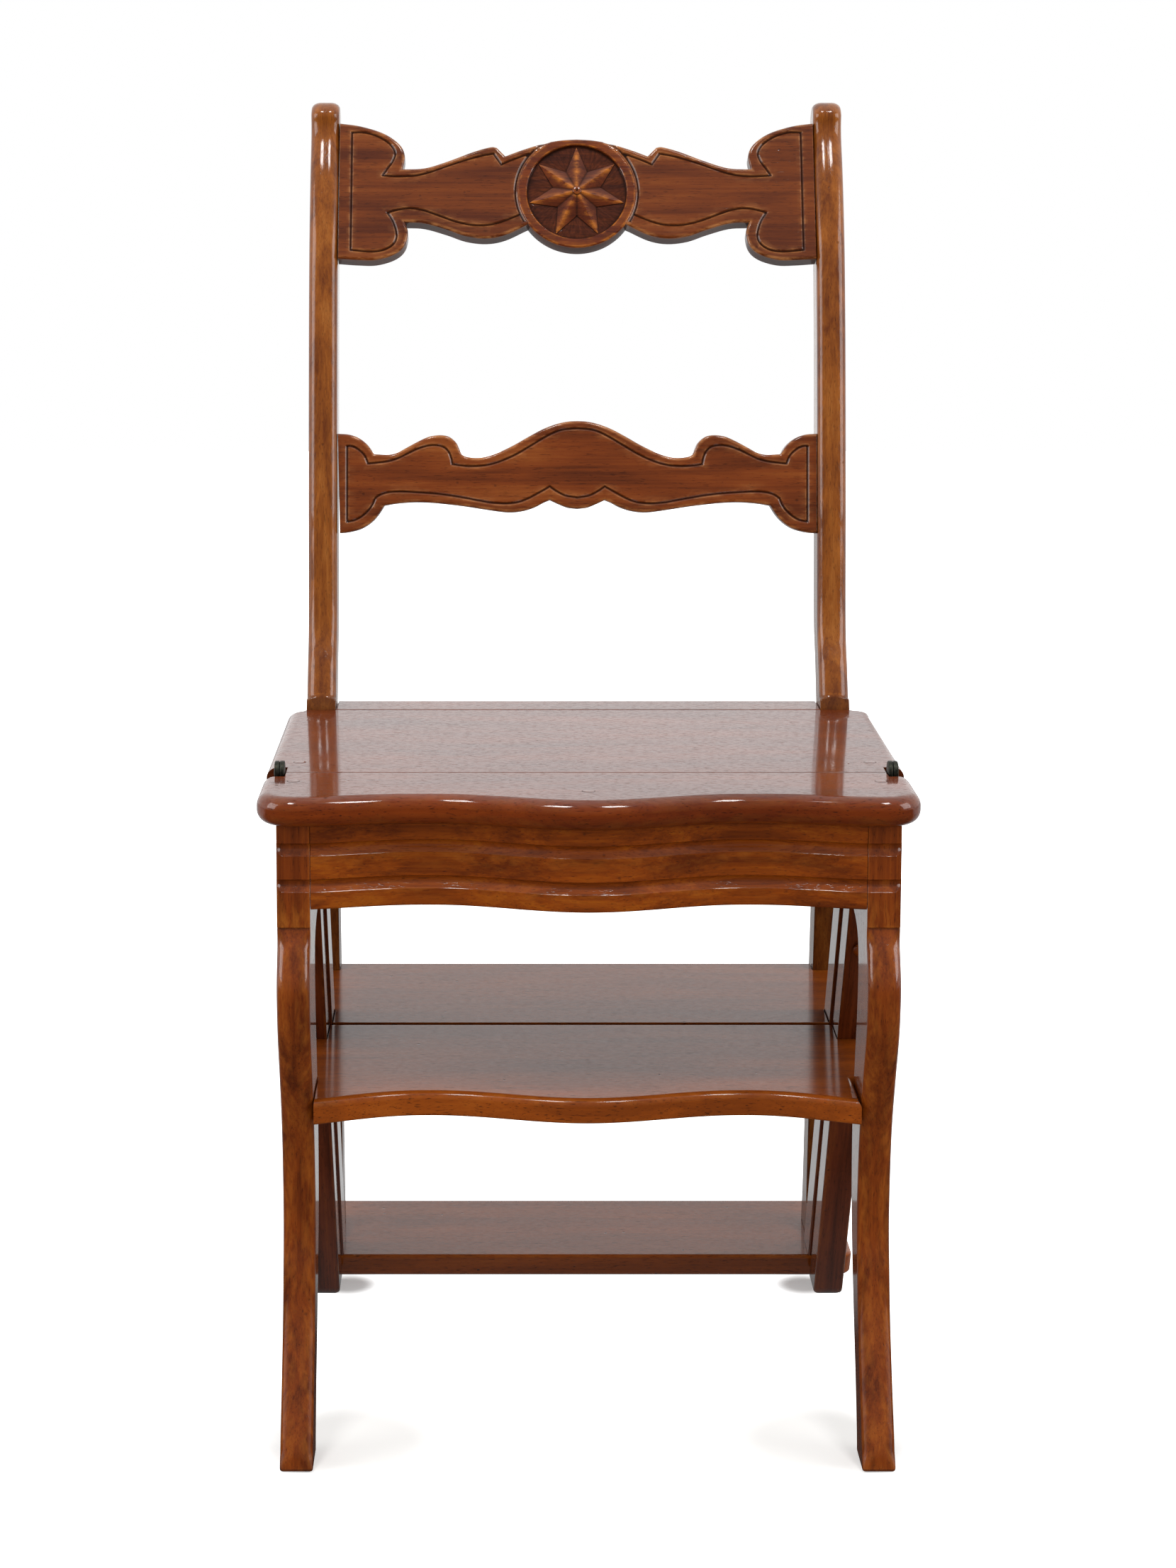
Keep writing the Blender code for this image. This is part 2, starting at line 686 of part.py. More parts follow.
def parting_tool(name, behind):
    """The slanted parting plane as a thick wedge that removes what lies behind it, or before it."""
    low, high = -OVERRUN, SEAT_TOP
    offset = -FRAME_GAP / 2 if behind else FRAME_GAP / 2
    far = FACE_REACH if behind else -FACE_REACH
    shape = [(split_y(low) + offset, low), (far, low), (far, high), (split_y(high) + offset, high)]
    return prism(name, shape, -FACE_REACH, FACE_REACH, "YZ")


def tongue_half_width():
    """Treads run out between the side members nearly to their outer faces."""
    return SIDE_OUTER - REAR_STRINGER_INSET - TREAD_SET_IN


def front_tread():
    span = SIDE_INNER - GAP
    steps = 10
    low = TREAD_TOP - TREAD_THICK
    nose = []
    for k in range(steps + 1):
        x = span * (1 - k / steps)
        bow = serpentine(x, TREAD_WAVE_SHARES, TREAD_CENTRE_BOW, TREAD_END_BOW)
        nose.append((x, -TREAD_RECESS - bow))
    _, _, leg_back = leg_outline()
    behind_leg = max(height_of(leg_back, low), height_of(leg_back, TREAD_TOP)) + GAP * 2
    rear = split_y(low) + OVERRUN
    right = [(tongue_half_width(), rear), (tongue_half_width(), nose[0][1]), *nose]
    made = prism("front_tread", right + mirrored(right)[1:], low, TREAD_TOP, "XY")
    soften(made, [right[1:] + mirrored(right)[1:-1]], (0, 1), TREAD_EASE, 1)
    for side_name, side in SIDES:
        ends = sorted((side * span, side * SIDE_OUTER))
        corner = (ends[0], nose[0][1] - OVERRUN, low - OVERRUN)
        cut(made, block("front_tread_notch_" + side_name, corner, (ends[1], behind_leg, TREAD_TOP + OVERRUN)))
    cut(made, parting_tool("front_tread_parting", True))
    for side_name, side in SIDES:
        inner, outer = front_stringer_faces(side, GAP)
        cut(made, prism("front_tread_housing_" + side_name, front_stringer_outline(GAP), inner, outer, "YZ"))
    shade(made)
    return place(made, front_frame, WORN_WOOD)


def corner_block(name, side):
    x = SIDE_INNER - GAP * 2
    y = apron_face(x - CORNER_BLOCK_LEG) + APRON_THICK + GAP * 3
    shape = [(side * x, y), (side * (x - CORNER_BLOCK_LEG), y), (side * x, y + CORNER_BLOCK_LEG)]
    top = SEAT_TOP - SEAT_THICK - GAP
    made = prism(name, shape, top - CORNER_BLOCK_HEIGHT, top, "XY")
    return place(made, front_frame, HIDDEN_WOOD)


# Rear frame

def post_runs():
    """The post's front and back runs, each from the tip down to the low tread."""
    rise = HEIGHT - SEAT_TOP
    tip_y = SEAT_REAR + POST_TOP_SET_BACK + POST_TIP_RADIUS * (1 - math.sin(POST_TIP_LEAN))
    tip = (tip_y, HEIGHT - POST_TIP_RADIUS)
    lean = (-math.cos(POST_TIP_LEAN) * POST_TIP_RADIUS, math.sin(POST_TIP_LEAN) * POST_TIP_RADIUS)
    face = SEAT_REAR + GAP
    seat_low = SEAT_TOP - SEAT_THICK
    upper_front = [(face, SEAT_TOP)]
    upper_back = [(face + POST_DEPTH, SEAT_TOP)]
    for (height, sweep), depth in zip(POST_UPPER_SHARES, POST_UPPER_DEPTH_SHARES):
        y = face + sweep * POST_TOP_SET_BACK
        z = SEAT_TOP + height * rise
        upper_front.append((y, z))
        upper_back.append((y + depth * POST_DEPTH, z))
    upper_back.pop()
    upper_front.append((tip[0] + lean[0], tip[1] + lean[1]))
    upper_back.append((tip[0] - lean[0], tip[1] - lean[1]))
    foot_z = LOW_TREAD_THICK + GAP
    lower_front = [(face, seat_low)]
    lower_back = [(face + POST_DEPTH, seat_low)]
    for height, splay in POST_LOWER_SHARES:
        y = face + splay * POST_FOOT_SET_BACK
        z = seat_low * (1 - height)
        lower_front.append((y, z))
        lower_back.append((y + POST_LOWER_DEPTH_SHARE * POST_DEPTH, z))
    bracket_low = POST_BRACKET_RISE
    bracket_high = bracket_low + POST_BRACKET_HEIGHT / 2
    reach = lower_front[-1][0] - rear_stringer_back(bracket_low)
    lower_front.append((lower_front[-1][0] - reach / 4, bracket_high))
    lower_front.append((rear_stringer_back(bracket_low) + GAP * 2, bracket_low))
    lower_back.append((face + POST_FOOT_SET_BACK + POST_LOWER_DEPTH_SHARE * POST_DEPTH, foot_z))
    tip_arc = arc(tip, POST_TIP_RADIUS, math.pi - POST_TIP_LEAN, -POST_TIP_LEAN, 7)
    foot = (rear_stringer_back(foot_z) + GAP * 2, foot_z)
    return {
        "upper_front": list(reversed(smooth(upper_front, 2))),
        "lower_front": smooth(lower_front, 2),
        "foot": foot,
        "lower_back": list(reversed(smooth(lower_back, 2))),
        "upper_back": smooth(upper_back, 2),
        "tip": list(reversed(tip_arc)),
    }


def post_front_at(z):
    """The post's front face at a height."""
    runs = post_runs()
    return height_of(runs["upper_front"] + runs["lower_front"], z)


def back_post(name, side):
    runs = post_runs()
    outline = runs["upper_front"] + runs["lower_front"] + [runs["foot"]]
    outline += runs["lower_back"] + runs["upper_back"] + runs["tip"]
    inner, outer = sorted((side * SIDE_INNER, side * SIDE_OUTER))
    made = prism(name, outline, inner, outer, "YZ")
    rounded = [p for p in runs["upper_front"] if p[1] > SEAT_TOP + POST_BLOCK]
    over = [p for p in reversed(runs["tip"])][:5]
    soften(made, [list(reversed(over)) + rounded], (1, 2), POST_ROUND, 2)
    crest = (CREST_Z, CREST_BACK, CREST_TILT, CREST_THICK, CREST_TENON_HALF)
    middle = (MID_Z, MID_BACK, MID_TILT, MID_THICK, MID_TENON_HALF)
    cut(made, rail_mortise(name + "_crest", side, *crest))
    cut(made, rail_mortise(name + "_middle", side, *middle))
    low, high = rear_rail_tenon(side, GAP)
    cut(made, block(name + "_rail_mortise", low, high))
    low, high = side_rail_tenon(side, GAP)
    cut(made, block(name + "_side_mortise", low, high))
    drill_button(made, name, post_button_place(side))
    shade(made)
    return place(made, rear_frame, WOOD)


def rail_turn(z, back, tilt):
    """Where a back rail's middle lies and how it leans."""
    y = post_front_at(z) + back
    return Matrix.Translation((0, y, z)) @ Matrix.Rotation(-tilt, 4, "X")


def rail_mortise(name, side, z, back, tilt, thick, half):
    """The mortise that a leaning back rail's end goes into."""
    ends = sorted((side * (SIDE_INNER - OVERRUN), side * (SIDE_INNER + TENON_LENGTH + GAP)))
    low = (ends[0], -thick / 2 - GAP, -half - GAP)
    high = (ends[1], thick / 2 + GAP, half + GAP)
    tool = block(name + "_mortise", low, high)
    tool.data.transform(rail_turn(z, back, tilt))
    return tool


def rail_outline(top_runs, bottom_runs, half_height, tenon_half):
    """A back rail's outline with its end tenons, from the half that runs post to middle and back."""
    half_length = SIDE_INNER - GAP

    def sized(run):
        return [(x * half_length, z * half_height) for x, z in run]

    top = [p for run in top_runs for p in smooth(sized(run), 3)]
    bottom = [p for run in bottom_runs for p in smooth(sized(run), 3)]
    end = half_length + TENON_LENGTH
    tenon = [(half_length, -tenon_half), (end, -tenon_half), (end, tenon_half), (half_length, tenon_half)]
    right = bottom + tenon + top
    return right + mirrored(right)


def crest_rail():
    half_length = SIDE_INNER - GAP
    start = math.acos(CREST_BOTTOM_SHARES[0][0][0] * half_length / ROUNDEL_RADIUS)
    under = arc((0, -ROUNDEL_DROP), ROUNDEL_RADIUS, -math.pi / 2, -start, 6)[:-1]
    shape = rail_outline(CREST_TOP_SHARES, CREST_BOTTOM_SHARES, CREST_HALF_HEIGHT, CREST_TENON_HALF)
    shape = under + shape + mirrored(under)
    made = prism("crest_rail", shape, -CREST_THICK / 2, CREST_THICK / 2, "XZ")
    turn = rail_turn(CREST_Z, CREST_BACK, CREST_TILT)
    made.data.transform(turn)
    ground = rod("roundel_ground", ROUNDEL_RADIUS - ROUNDEL_RIM, -OVERRUN, ROUNDEL_SINK, (0, 0), 28, "Z")
    middle = Matrix.Translation((0, -CREST_THICK / 2, -ROUNDEL_DROP))
    facing = middle @ Matrix.Rotation(-math.pi / 2, 4, "X")
    ground.data.transform(turn @ facing)
    cut(made, ground)
    ornament = star("roundel_star")
    ornament.data.transform(turn @ facing)
    join(made, ornament)
    shade(made)
    return place(made, rear_frame, WOOD)


def star(name):
    """A faceted star whose ridges rise to its middle; its own z axis runs into the rail."""
    shape = bmesh.new()
    rim = []
    for k in range(2 * STAR_POINTS):
        radius = STAR_RADIUS if k % 2 == 0 else STAR_RADIUS * STAR_VALLEY_SHARE
        angle = math.pi * k / STAR_POINTS - math.pi / 2
        rim.append(shape.verts.new((radius * math.cos(angle), radius * math.sin(angle), ROUNDEL_SINK - STAR_EDGE)))
    floor = shape.faces.new(rim)
    sunk = bmesh.ops.extrude_face_region(shape, geom=[floor])["geom"]
    bmesh.ops.translate(
        shape, vec=(0, 0, ROUNDEL_SINK), verts=[v for v in sunk if isinstance(v, bmesh.types.BMVert)]
    )
    top = [f for f in shape.faces if len(f.verts) > 4 and f.calc_center_median().z < ROUNDEL_SINK * 1.5]
    raised = bmesh.ops.poke(shape, faces=top)["verts"]
    bmesh.ops.translate(shape, vec=(0, 0, -STAR_RELIEF), verts=raised)
    bmesh.ops.recalc_face_normals(shape, faces=shape.faces)
    mesh = bpy.data.meshes.new(name)
    shape.to_mesh(mesh)
    shape.free()
    return bpy.data.objects.new(name, mesh)


def mid_rail():
    shape = rail_outline(MID_TOP_SHARES, MID_BOTTOM_SHARES, MID_HALF_HEIGHT, MID_TENON_HALF)
    made = prism("mid_rail", shape, -MID_THICK / 2, MID_THICK / 2, "XZ")
    made.data.transform(rail_turn(MID_Z, MID_BACK, MID_TILT))
    shade(made)
    return place(made, rear_frame, WOOD)


def seat_rear_edge():
    """The rear seat board's rounded edge on the right: side and rear corner."""
    centre = (SEAT_HALF_WIDTH - SEAT_REAR_CORNER, SEAT_REAR - SEAT_REAR_CORNER)
    return [(SEAT_HALF_WIDTH, GAP)] + arc(centre, SEAT_REAR_CORNER, 0, math.pi / 2, 4)


def rear_seat_board():
    edge = seat_rear_edge()
    board = prism("rear_seat_board", edge + mirrored(edge), SEAT_TOP - SEAT_THICK, SEAT_TOP, "XY")
    soften(board, [edge, mirrored(edge)], (0, 1), SEAT_NOSE, 3)
    for side_name, side in SIDES:
        cut(board, hinge_notch("rear_notch_" + side_name, side, -OVERRUN, NOTCH_REAR, NOTCH_SPLAY))
        cut(board, plug_hole("rear_plug_hole_" + side_name, plug_place("rear", side)))
    shade(board)
    place(board, rear_frame, WORN_WOOD)
    for side_name, side in SIDES:
        plug("rear_seat_plug_" + side_name, plug_place("rear", side), rear_frame)


def rear_seat_strip():
    x = SIDE_INNER - GAP
    front = SEAT_REAR + GAP
    rear = front + SEAT_STRIP_DEPTH
    made = block("rear_seat_strip", (-x, front, SEAT_TOP - SEAT_THICK), (x, rear, SEAT_TOP))
    return place(made, rear_frame, WORN_WOOD)


def rear_rail_tenon(side, ease):
    """Corners of the rear rail's end tenon, grown by an ease for its mortise."""
    ends = sorted((side * (SIDE_INNER - OVERRUN), side * (SIDE_INNER + TENON_LENGTH + ease)))
    y = SEAT_REAR + REAR_RAIL_SET_BACK + REAR_RAIL_THICK / 2
    half = REAR_RAIL_THICK / 2 - RAIL_TENON_SHOULDER / 2
    top = SEAT_TOP - SEAT_THICK - GAP - RAIL_TENON_SHOULDER
    bottom = SEAT_TOP - SEAT_THICK - GAP - REAR_RAIL_HEIGHT + RAIL_TENON_SHOULDER
    return (ends[0], y - half - ease, bottom - ease), (ends[1], y + half + ease, top + ease)


def rear_rail():
    x = SIDE_INNER - GAP
    front = SEAT_REAR + REAR_RAIL_SET_BACK
    top = SEAT_TOP - SEAT_THICK - GAP
    made = block("rear_rail", (-x, front, top - REAR_RAIL_HEIGHT), (x, front + REAR_RAIL_THICK, top))
    for side_name, side in SIDES:
        low, high = rear_rail_tenon(side, 0)
        join(made, block("rear_rail_tenon_" + side_name, low, high))
    return place(made, rear_frame, WOOD)


def side_rail_faces(side):
    return sorted((side * (SIDE_INNER + SIDE_RAIL_INSET), side * (SIDE_OUTER - SIDE_RAIL_INSET)))


def side_rail_tenon(side, ease):
    """Corners of the seat side rail's tenon into the post, grown by an ease for its mortise."""
    middle = side * (SIDE_INNER + SIDE_OUTER) / 2
    half = SIDE_TENON_THICK / 2
    rail_top = SEAT_TOP - SEAT_THICK - GAP
    top = rail_top - RAIL_TENON_SHOULDER
    bottom = rail_top - SIDE_RAIL_HEIGHT + RAIL_TENON_SHOULDER
    start = SEAT_REAR - OVERRUN
    end = SEAT_REAR + REAR_RAIL_SET_BACK + RAIL_TENON_SHOULDER / 2 - GAP * 4
    return (middle - half - ease, start, bottom - ease), (middle + half + ease, end + ease, top + ease)


def seat_side_rail(name, side):
    top = SEAT_TOP - SEAT_THICK - GAP
    low = top - SIDE_RAIL_HEIGHT
    shape = [
        (rear_stringer_back(top) + GAP * 2, top),
        (rear_stringer_back(low) + GAP * 2, low),
        (post_front_at(low) - GAP * 3, low),
        (SEAT_REAR, top),
    ]
    inner, outer = side_rail_faces(side)
    made = prism(name, shape, inner, outer, "YZ")
    corner_low, corner_high = side_rail_tenon(side, 0)
    join(made, block(name + "_tenon", corner_low, corner_high))
    return place(made, rear_frame, HIDDEN_WOOD)


def rear_stringer_outline(grow):
    top = SEAT_TOP - SEAT_THICK - GAP
    low = LOW_TREAD_THICK + GAP
    return [
        (rear_stringer_front(top) - grow, top + grow),
        (rear_stringer_front(low) - grow, low - grow),
        (rear_stringer_back(low) + grow, low - grow),
        (rear_stringer_back(top) + grow, top + grow),
    ]


def rear_stringer_faces(side, grow):
    return sorted((
        side * (SIDE_INNER - REAR_STRINGER_INSET - grow),
        side * (SIDE_OUTER - REAR_STRINGER_INSET + grow),
    ))


def rear_stringer(name, side):
    inner, outer = rear_stringer_faces(side, 0)
    made = prism(name, rear_stringer_outline(0), inner, outer, "YZ")
    drill_strap_screws(made, name, side, rear_strap_line())
    return place(made, rear_frame, WOOD)


def rear_tread():
    low = TREAD_TOP - TREAD_THICK
    span = SIDE_INNER - GAP
    before_post = post_front_at(TREAD_TOP) - GAP * 2
    front = split_y(TREAD_TOP) - OVERRUN
    right = [
        (tongue_half_width(), front),
        (tongue_half_width(), before_post),
        (span, before_post),
        (span, TREAD_REAR),
    ]
    made = prism("rear_tread", right + mirrored(right), low, TREAD_TOP, "XY")
    cut(made, parting_tool("rear_tread_parting", False))
    for side_name, side in SIDES:
        inner, outer = rear_stringer_faces(side, GAP)
        cut(made, prism("rear_tread_housing_" + side_name, rear_stringer_outline(GAP), inner, outer, "YZ"))
    return place(made, rear_frame, WORN_WOOD)


def low_tread():
    radius = LOW_TREAD_CORNER
    front = split_y(LOW_TREAD_THICK) + FRAME_GAP / 2
    rear_centre = (LOW_TREAD_HALF_WIDTH - radius, LOW_TREAD_REAR - radius)
    front_centre = (LOW_TREAD_HALF_WIDTH - radius, front + radius)
    right = arc(front_centre, radius, -math.pi / 2, 0, 4) + arc(rear_centre, radius, 0, math.pi / 2, 4)
    made = prism("bottom_tread", right + mirrored(right), 0, LOW_TREAD_THICK, "XY")
    soften(made, [right[1:], mirrored(right)[:-1]], (0, 1), TREAD_EASE, 1)
    cut(made, parting_tool("bottom_tread_parting", False))
    shade(made)
    return place(made, rear_frame, WORN_WOOD)


# Turned buttons

def stringer_button_place(side):
    """Where the front stringer's button sits and the way it faces, square to the stringer's front."""
    x = side * ((SIDE_INNER + SIDE_OUTER) / 2 - FRONT_STRINGER_INSET)
    spot = Vector((x, front_stringer_front(STRINGER_BUTTON_Z), STRINGER_BUTTON_Z))
    return spot, Vector((0, -1, -SPLIT_SLOPE_SHARE)).normalized()


def post_button_place(side):
    """Where the post's button sits and the way it faces, square to the post's front."""
    x = side * (SIDE_INNER + SIDE_OUTER) / 2
    below = post_front_at(POST_BUTTON_Z - POST_BUTTON_RADIUS)
    above = post_front_at(POST_BUTTON_Z + POST_BUTTON_RADIUS)
    spot = Vector((x, (below + above) / 2, POST_BUTTON_Z))
    return spot, Vector((0, -2 * POST_BUTTON_RADIUS, above - below)).normalized()


def facing(spot, way):
    """The placing that puts a turned piece's z axis along the way, with its base on the spot."""
    return Matrix.Translation(spot) @ way.to_track_quat("Z", "Y").to_matrix().to_4x4()


def drill_button(obj, name, where):
    """The hole for a button's peg."""
    radius = BUTTON_PEG_RADIUS + GAP
    hole = rod(name + "_button_hole", radius, -BUTTON_PEG_LENGTH - GAP * 2, OVERRUN, (0, 0), 12, "Z")
    hole.data.transform(facing(*where))
    cut(obj, hole)


def button(name, where, frame, radius, height):
    """A domed wooden button on a peg."""
    base = BUTTON_LIFT
    rim = base + BUTTON_RIM
    angles = [math.radians(a) for a in (0, 25, 50, 72, 90)]
    dome = [(radius * math.sin(a), rim + (height - BUTTON_RIM) * math.cos(a)) for a in angles]
    profile = dome + [
        (radius, base),
        (BUTTON_PEG_RADIUS, base),
        (BUTTON_PEG_RADIUS, -BUTTON_PEG_LENGTH),
        (0, -BUTTON_PEG_LENGTH),
    ]
    made = turned(name, profile, 14)
    place(made, frame, WOOD)
    spot, way = where
    lift = HINGE_Z if frame is rear_frame else 0
    made.matrix_local = Matrix.Translation((0, 0, -lift)) @ facing(spot, way)
    return made


# Hinges

def strap_line(end):
    """A strap's run in the side view, from the hinge line to the end point: direction, length."""
    run = Vector((end[0], end[1] - HINGE_Z))
    return run.normalized(), run.length


def front_strap_line():
    z = HINGE_Z - STRAP_DROP
    return strap_line(((front_stringer_front(z) + front_stringer_back(z)) / 2, z))


def rear_strap_line():
    z = HINGE_Z - STRAP_DROP
    return strap_line(((rear_stringer_front(z) + rear_stringer_back(z)) / 2, z))


def on_strap(line, along, across):
    """The side-view place of a point given along and across a strap."""
    way, _ = line
    return (way.x * along - way.y * across, HINGE_Z + way.y * along + way.x * across)


def screw_places(line):
    _, length = line
    return [on_strap(line, share * length, 0) for share in SCREW_SHARES]


def drill_strap_screws(obj, name, side, line):
    """Pilot holes for a strap's screws in the stringer's outer face."""
    inset = FRONT_STRINGER_INSET if obj.name.startswith("front") else REAR_STRINGER_INSET
    face = SIDE_OUTER - inset
    for k, place_yz in enumerate(screw_places(line)):
        low, high = sorted((side * (face - SCREW_LENGTH - GAP * 2), side * (face + OVERRUN)))
        cut(obj, rod(f"{name}_pilot_{k}", SCREW_RADIUS + GAP, low, high, place_yz, 10))


def eye_layers():
    """The x ranges of the front and rear straps' eyes, side by side outside the front stringer."""
    front = hinge_inner()
    rear = front + EYE_THICK + GAP
    return (front, front + EYE_THICK), (rear, rear + EYE_THICK)


def finish_strap(strap, name, side, line, eye, layer):
    """Adds the eye to a strap and drills the pin hole and screw holes."""
    low, high = sorted((side * eye[0], side * eye[1]))
    join(strap, rod(name + "_eye", EYE_RADIUS, low, high, (0, HINGE_Z), 20))
    low, high = sorted((side * (eye[0] - OVERRUN), side * (eye[1] + OVERRUN)))
    cut(strap, rod(name + "_bore", PIN_RADIUS + GAP, low, high, (0, HINGE_Z), 16))
    for k, where in enumerate(screw_places(line)):
        low, high = sorted((side * (layer - OVERRUN), side * (layer + STRAP_THICK + OVERRUN)))
        cut(strap, rod(f"{name}_screw_hole_{k}", SCREW_RADIUS + GAP, low, high, where, 10))
    shade(strap)


def front_strap(name, side):
    """The flat strap on the front stringer's outer face, with its eye in the seat's notch."""
    line = front_strap_line()
    way, length = line
    eye, _ = eye_layers()
    angle = math.atan2(way.y, way.x)
    tip = arc(on_strap(line, length, 0), STRAP_HALF_WIDTH, angle - math.pi / 2, angle + math.pi / 2, 6)
    outline = [on_strap(line, 0, STRAP_HALF_WIDTH), on_strap(line, 0, -STRAP_HALF_WIDTH), *tip]
    low, high = sorted((side * hinge_inner(), side * (hinge_inner() + STRAP_THICK)))
    strap = prism(name, outline, low, high, "YZ")
    finish_strap(strap, name, side, line, (eye[0] - GAP / 2, eye[1]), hinge_inner())
    return place(strap, front_frame, IRON)


def rear_strap(name, side):
    """The cranked strap: its eye lies outside the front one, its tail on the rear stringer's face."""
    line = rear_strap_line()
    way, length = line
    _, eye = eye_layers()
    tail = SIDE_OUTER - REAR_STRINGER_INSET + GAP
    head = (eye[0] + eye[1] - STRAP_THICK) / 2
    crank_end = CRANK_START + CRANK_RUN
    end = length + STRAP_HALF_WIDTH
    bar = [
        (0, head), (0, head + STRAP_THICK), (CRANK_START + STRAP_THICK / 2, head + STRAP_THICK),
        (crank_end + STRAP_THICK / 2, tail + STRAP_THICK), (end, tail + STRAP_THICK), (end, tail),
        (crank_end - STRAP_THICK / 2, tail), (CRANK_START - STRAP_THICK / 2, head),
    ]
    strap = prism(name, bar, -STRAP_HALF_WIDTH, STRAP_HALF_WIDTH, "XY")
    turn = Matrix((
        (0, side, 0, 0),
        (way.x, 0, -way.y, 0),
        (way.y, 0, way.x, HINGE_Z),
        (0, 0, 0, 1),
    ))
    strap.data.transform(turn)
    if turn.determinant() < 0:
        strap.data.flip_normals()
    finish_strap(strap, name, side, line, eye, tail)
    return place(strap, rear_frame, IRON)


def hinge_pin(name, side):
    """The riveted pin through both eyes; its head lies outside them."""
    front, rear = eye_layers()
    start = front[0]
    neck = rear[1] + GAP
    profile = [
        (0, neck + PIN_HEAD), (PIN_HEAD_RADIUS * math.sin(math.pi / 4), neck + PIN_HEAD),
        (PIN_HEAD_RADIUS, neck + PIN_HEAD / 2), (PIN_HEAD_RADIUS, neck),
        (PIN_RADIUS, neck), (PIN_RADIUS, start), (0, start),
    ]
    made = turned(name, profile, 16)
    place(made, front_frame, IRON)
    made.matrix_local = Matrix.Translation((0, 0, HINGE_Z)) @ Matrix.Rotation(side * math.pi / 2, 4, "Y")
    return made


def strap_screw(name, side, where, face, frame):
    """A round-headed screw through a strap into the stringer."""
    base = face + STRAP_THICK + GAP
    shoulder = math.sin(math.pi / 4)
    profile = [
        (0, base + SCREW_HEAD),
        (SCREW_HEAD_RADIUS * shoulder, base + SCREW_HEAD * shoulder),
        (SCREW_HEAD_RADIUS, base),
        (SCREW_RADIUS, base),
        (SCREW_RADIUS, face - SCREW_LENGTH),
        (0, face - SCREW_LENGTH),
    ]
    made = turned(name, profile, 10)
    place(made, frame, IRON)
    lift = HINGE_Z if frame is rear_frame else 0
    spot = (0, where[0], where[1] - lift)
    made.matrix_local = Matrix.Translation(spot) @ Matrix.Rotation(side * math.pi / 2, 4, "Y")
    return made


# Assembly

apron()
front_seat_board()
front_tread()
crest_rail()
mid_rail()
rear_seat_board()
rear_seat_strip()
rear_rail()
rear_tread()
low_tread()
for side_name, side in SIDES:
    front_leg("front_leg_" + side_name, side)
    front_stringer("front_stringer_" + side_name, side)
    corner_block("corner_block_" + side_name, side)
    button("stringer_button_" + side_name, stringer_button_place(side), front_frame,
           STRINGER_BUTTON_RADIUS, STRINGER_BUTTON_HEIGHT)
    back_post("back_post_" + side_name, side)
    rear_stringer("rear_stringer_" + side_name, side)
    seat_side_rail("seat_side_rail_" + side_name, side)
    button("post_button_" + side_name, post_button_place(side), rear_frame,
           POST_BUTTON_RADIUS, POST_BUTTON_HEIGHT)
    front_strap("front_hinge_strap_" + side_name, side)
    rear_strap("rear_hinge_strap_" + side_name, side)
    hinge_pin("hinge_pin_" + side_name, side)
    for number, where in enumerate(screw_places(front_strap_line()), start=1):
        strap_screw(f"front_strap_screw_{number}_{side_name}", side, where, hinge_inner(), front_frame)
    for number, where in enumerate(screw_places(rear_strap_line()), start=1):
        tail_face = SIDE_OUTER - REAR_STRINGER_INSET + GAP
        strap_screw(f"rear_strap_screw_{number}_{side_name}", side, where, tail_face, rear_frame)
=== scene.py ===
from functools import partial
import json
import math

import bpy
import numpy as np
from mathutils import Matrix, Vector
from mathutils.geometry import delaunay_2d_cdt


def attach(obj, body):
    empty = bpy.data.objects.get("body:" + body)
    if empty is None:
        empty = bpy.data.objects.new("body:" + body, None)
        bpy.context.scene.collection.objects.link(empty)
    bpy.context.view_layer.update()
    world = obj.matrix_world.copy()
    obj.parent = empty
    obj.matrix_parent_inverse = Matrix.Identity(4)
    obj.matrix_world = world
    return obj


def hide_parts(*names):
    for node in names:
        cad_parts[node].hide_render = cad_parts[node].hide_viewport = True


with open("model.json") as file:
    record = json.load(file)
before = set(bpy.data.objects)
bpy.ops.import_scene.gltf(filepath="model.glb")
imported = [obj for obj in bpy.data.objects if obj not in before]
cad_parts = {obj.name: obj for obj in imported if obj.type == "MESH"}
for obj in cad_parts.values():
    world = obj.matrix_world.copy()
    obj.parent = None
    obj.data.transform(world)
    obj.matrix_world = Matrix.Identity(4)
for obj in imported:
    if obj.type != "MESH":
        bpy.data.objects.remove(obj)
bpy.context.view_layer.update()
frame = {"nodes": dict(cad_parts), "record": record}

# Everything below is in millimetres, with y measured back from the hinge line and z up from the floor.
# toMetres puts it into the frame's own place.
hingeBehindOrigin = -145.5
bodyOf = {node: body for body, nodes in frame["record"]["behaviour"]["bodies"].items() for node in nodes}
sawn = 0.5                   # the rounding of an edge that is only eased after the saw
joint = 0.3                  # and of one that a neighbour covers
footFade = 4.0               # how far up the rubbed wood at the floor goes

carcase = {
    "innerSide": 183.5,      # inner face of legs and posts
    "outerSide": 205.5,
    "seatTop": 456.0,
    "seatThickness": 20.0,
    "splitSlope": 0.594,     # the two frames part on a plane that falls back by this much per millimetre
    "frameGap": 6.0,
    "stringerDepth": 36.0,
    "jointGap": 0.3,
}


def toMetres(points):
    return (np.asarray(points, float) + (0.0, hingeBehindOrigin, 0.0)) * 0.001


def splitAt(z):
    # where the two frames part: the slope times the depth under the seat's top
    return carcase["splitSlope"] * (carcase["seatTop"] - z)


def frontFaceAt(z):
    # the front face of the front stringers
    return splitAt(z) - carcase["frameGap"] / 2 - carcase["stringerDepth"]


def sideSpan(side, inset=0.0):
    # from the inner to the outer face of a member that lies inset nearer to the middle than the legs
    return sorted((side * (carcase["innerSide"] - inset), side * (carcase["outerSide"] - inset)))


# Curves and surfaces

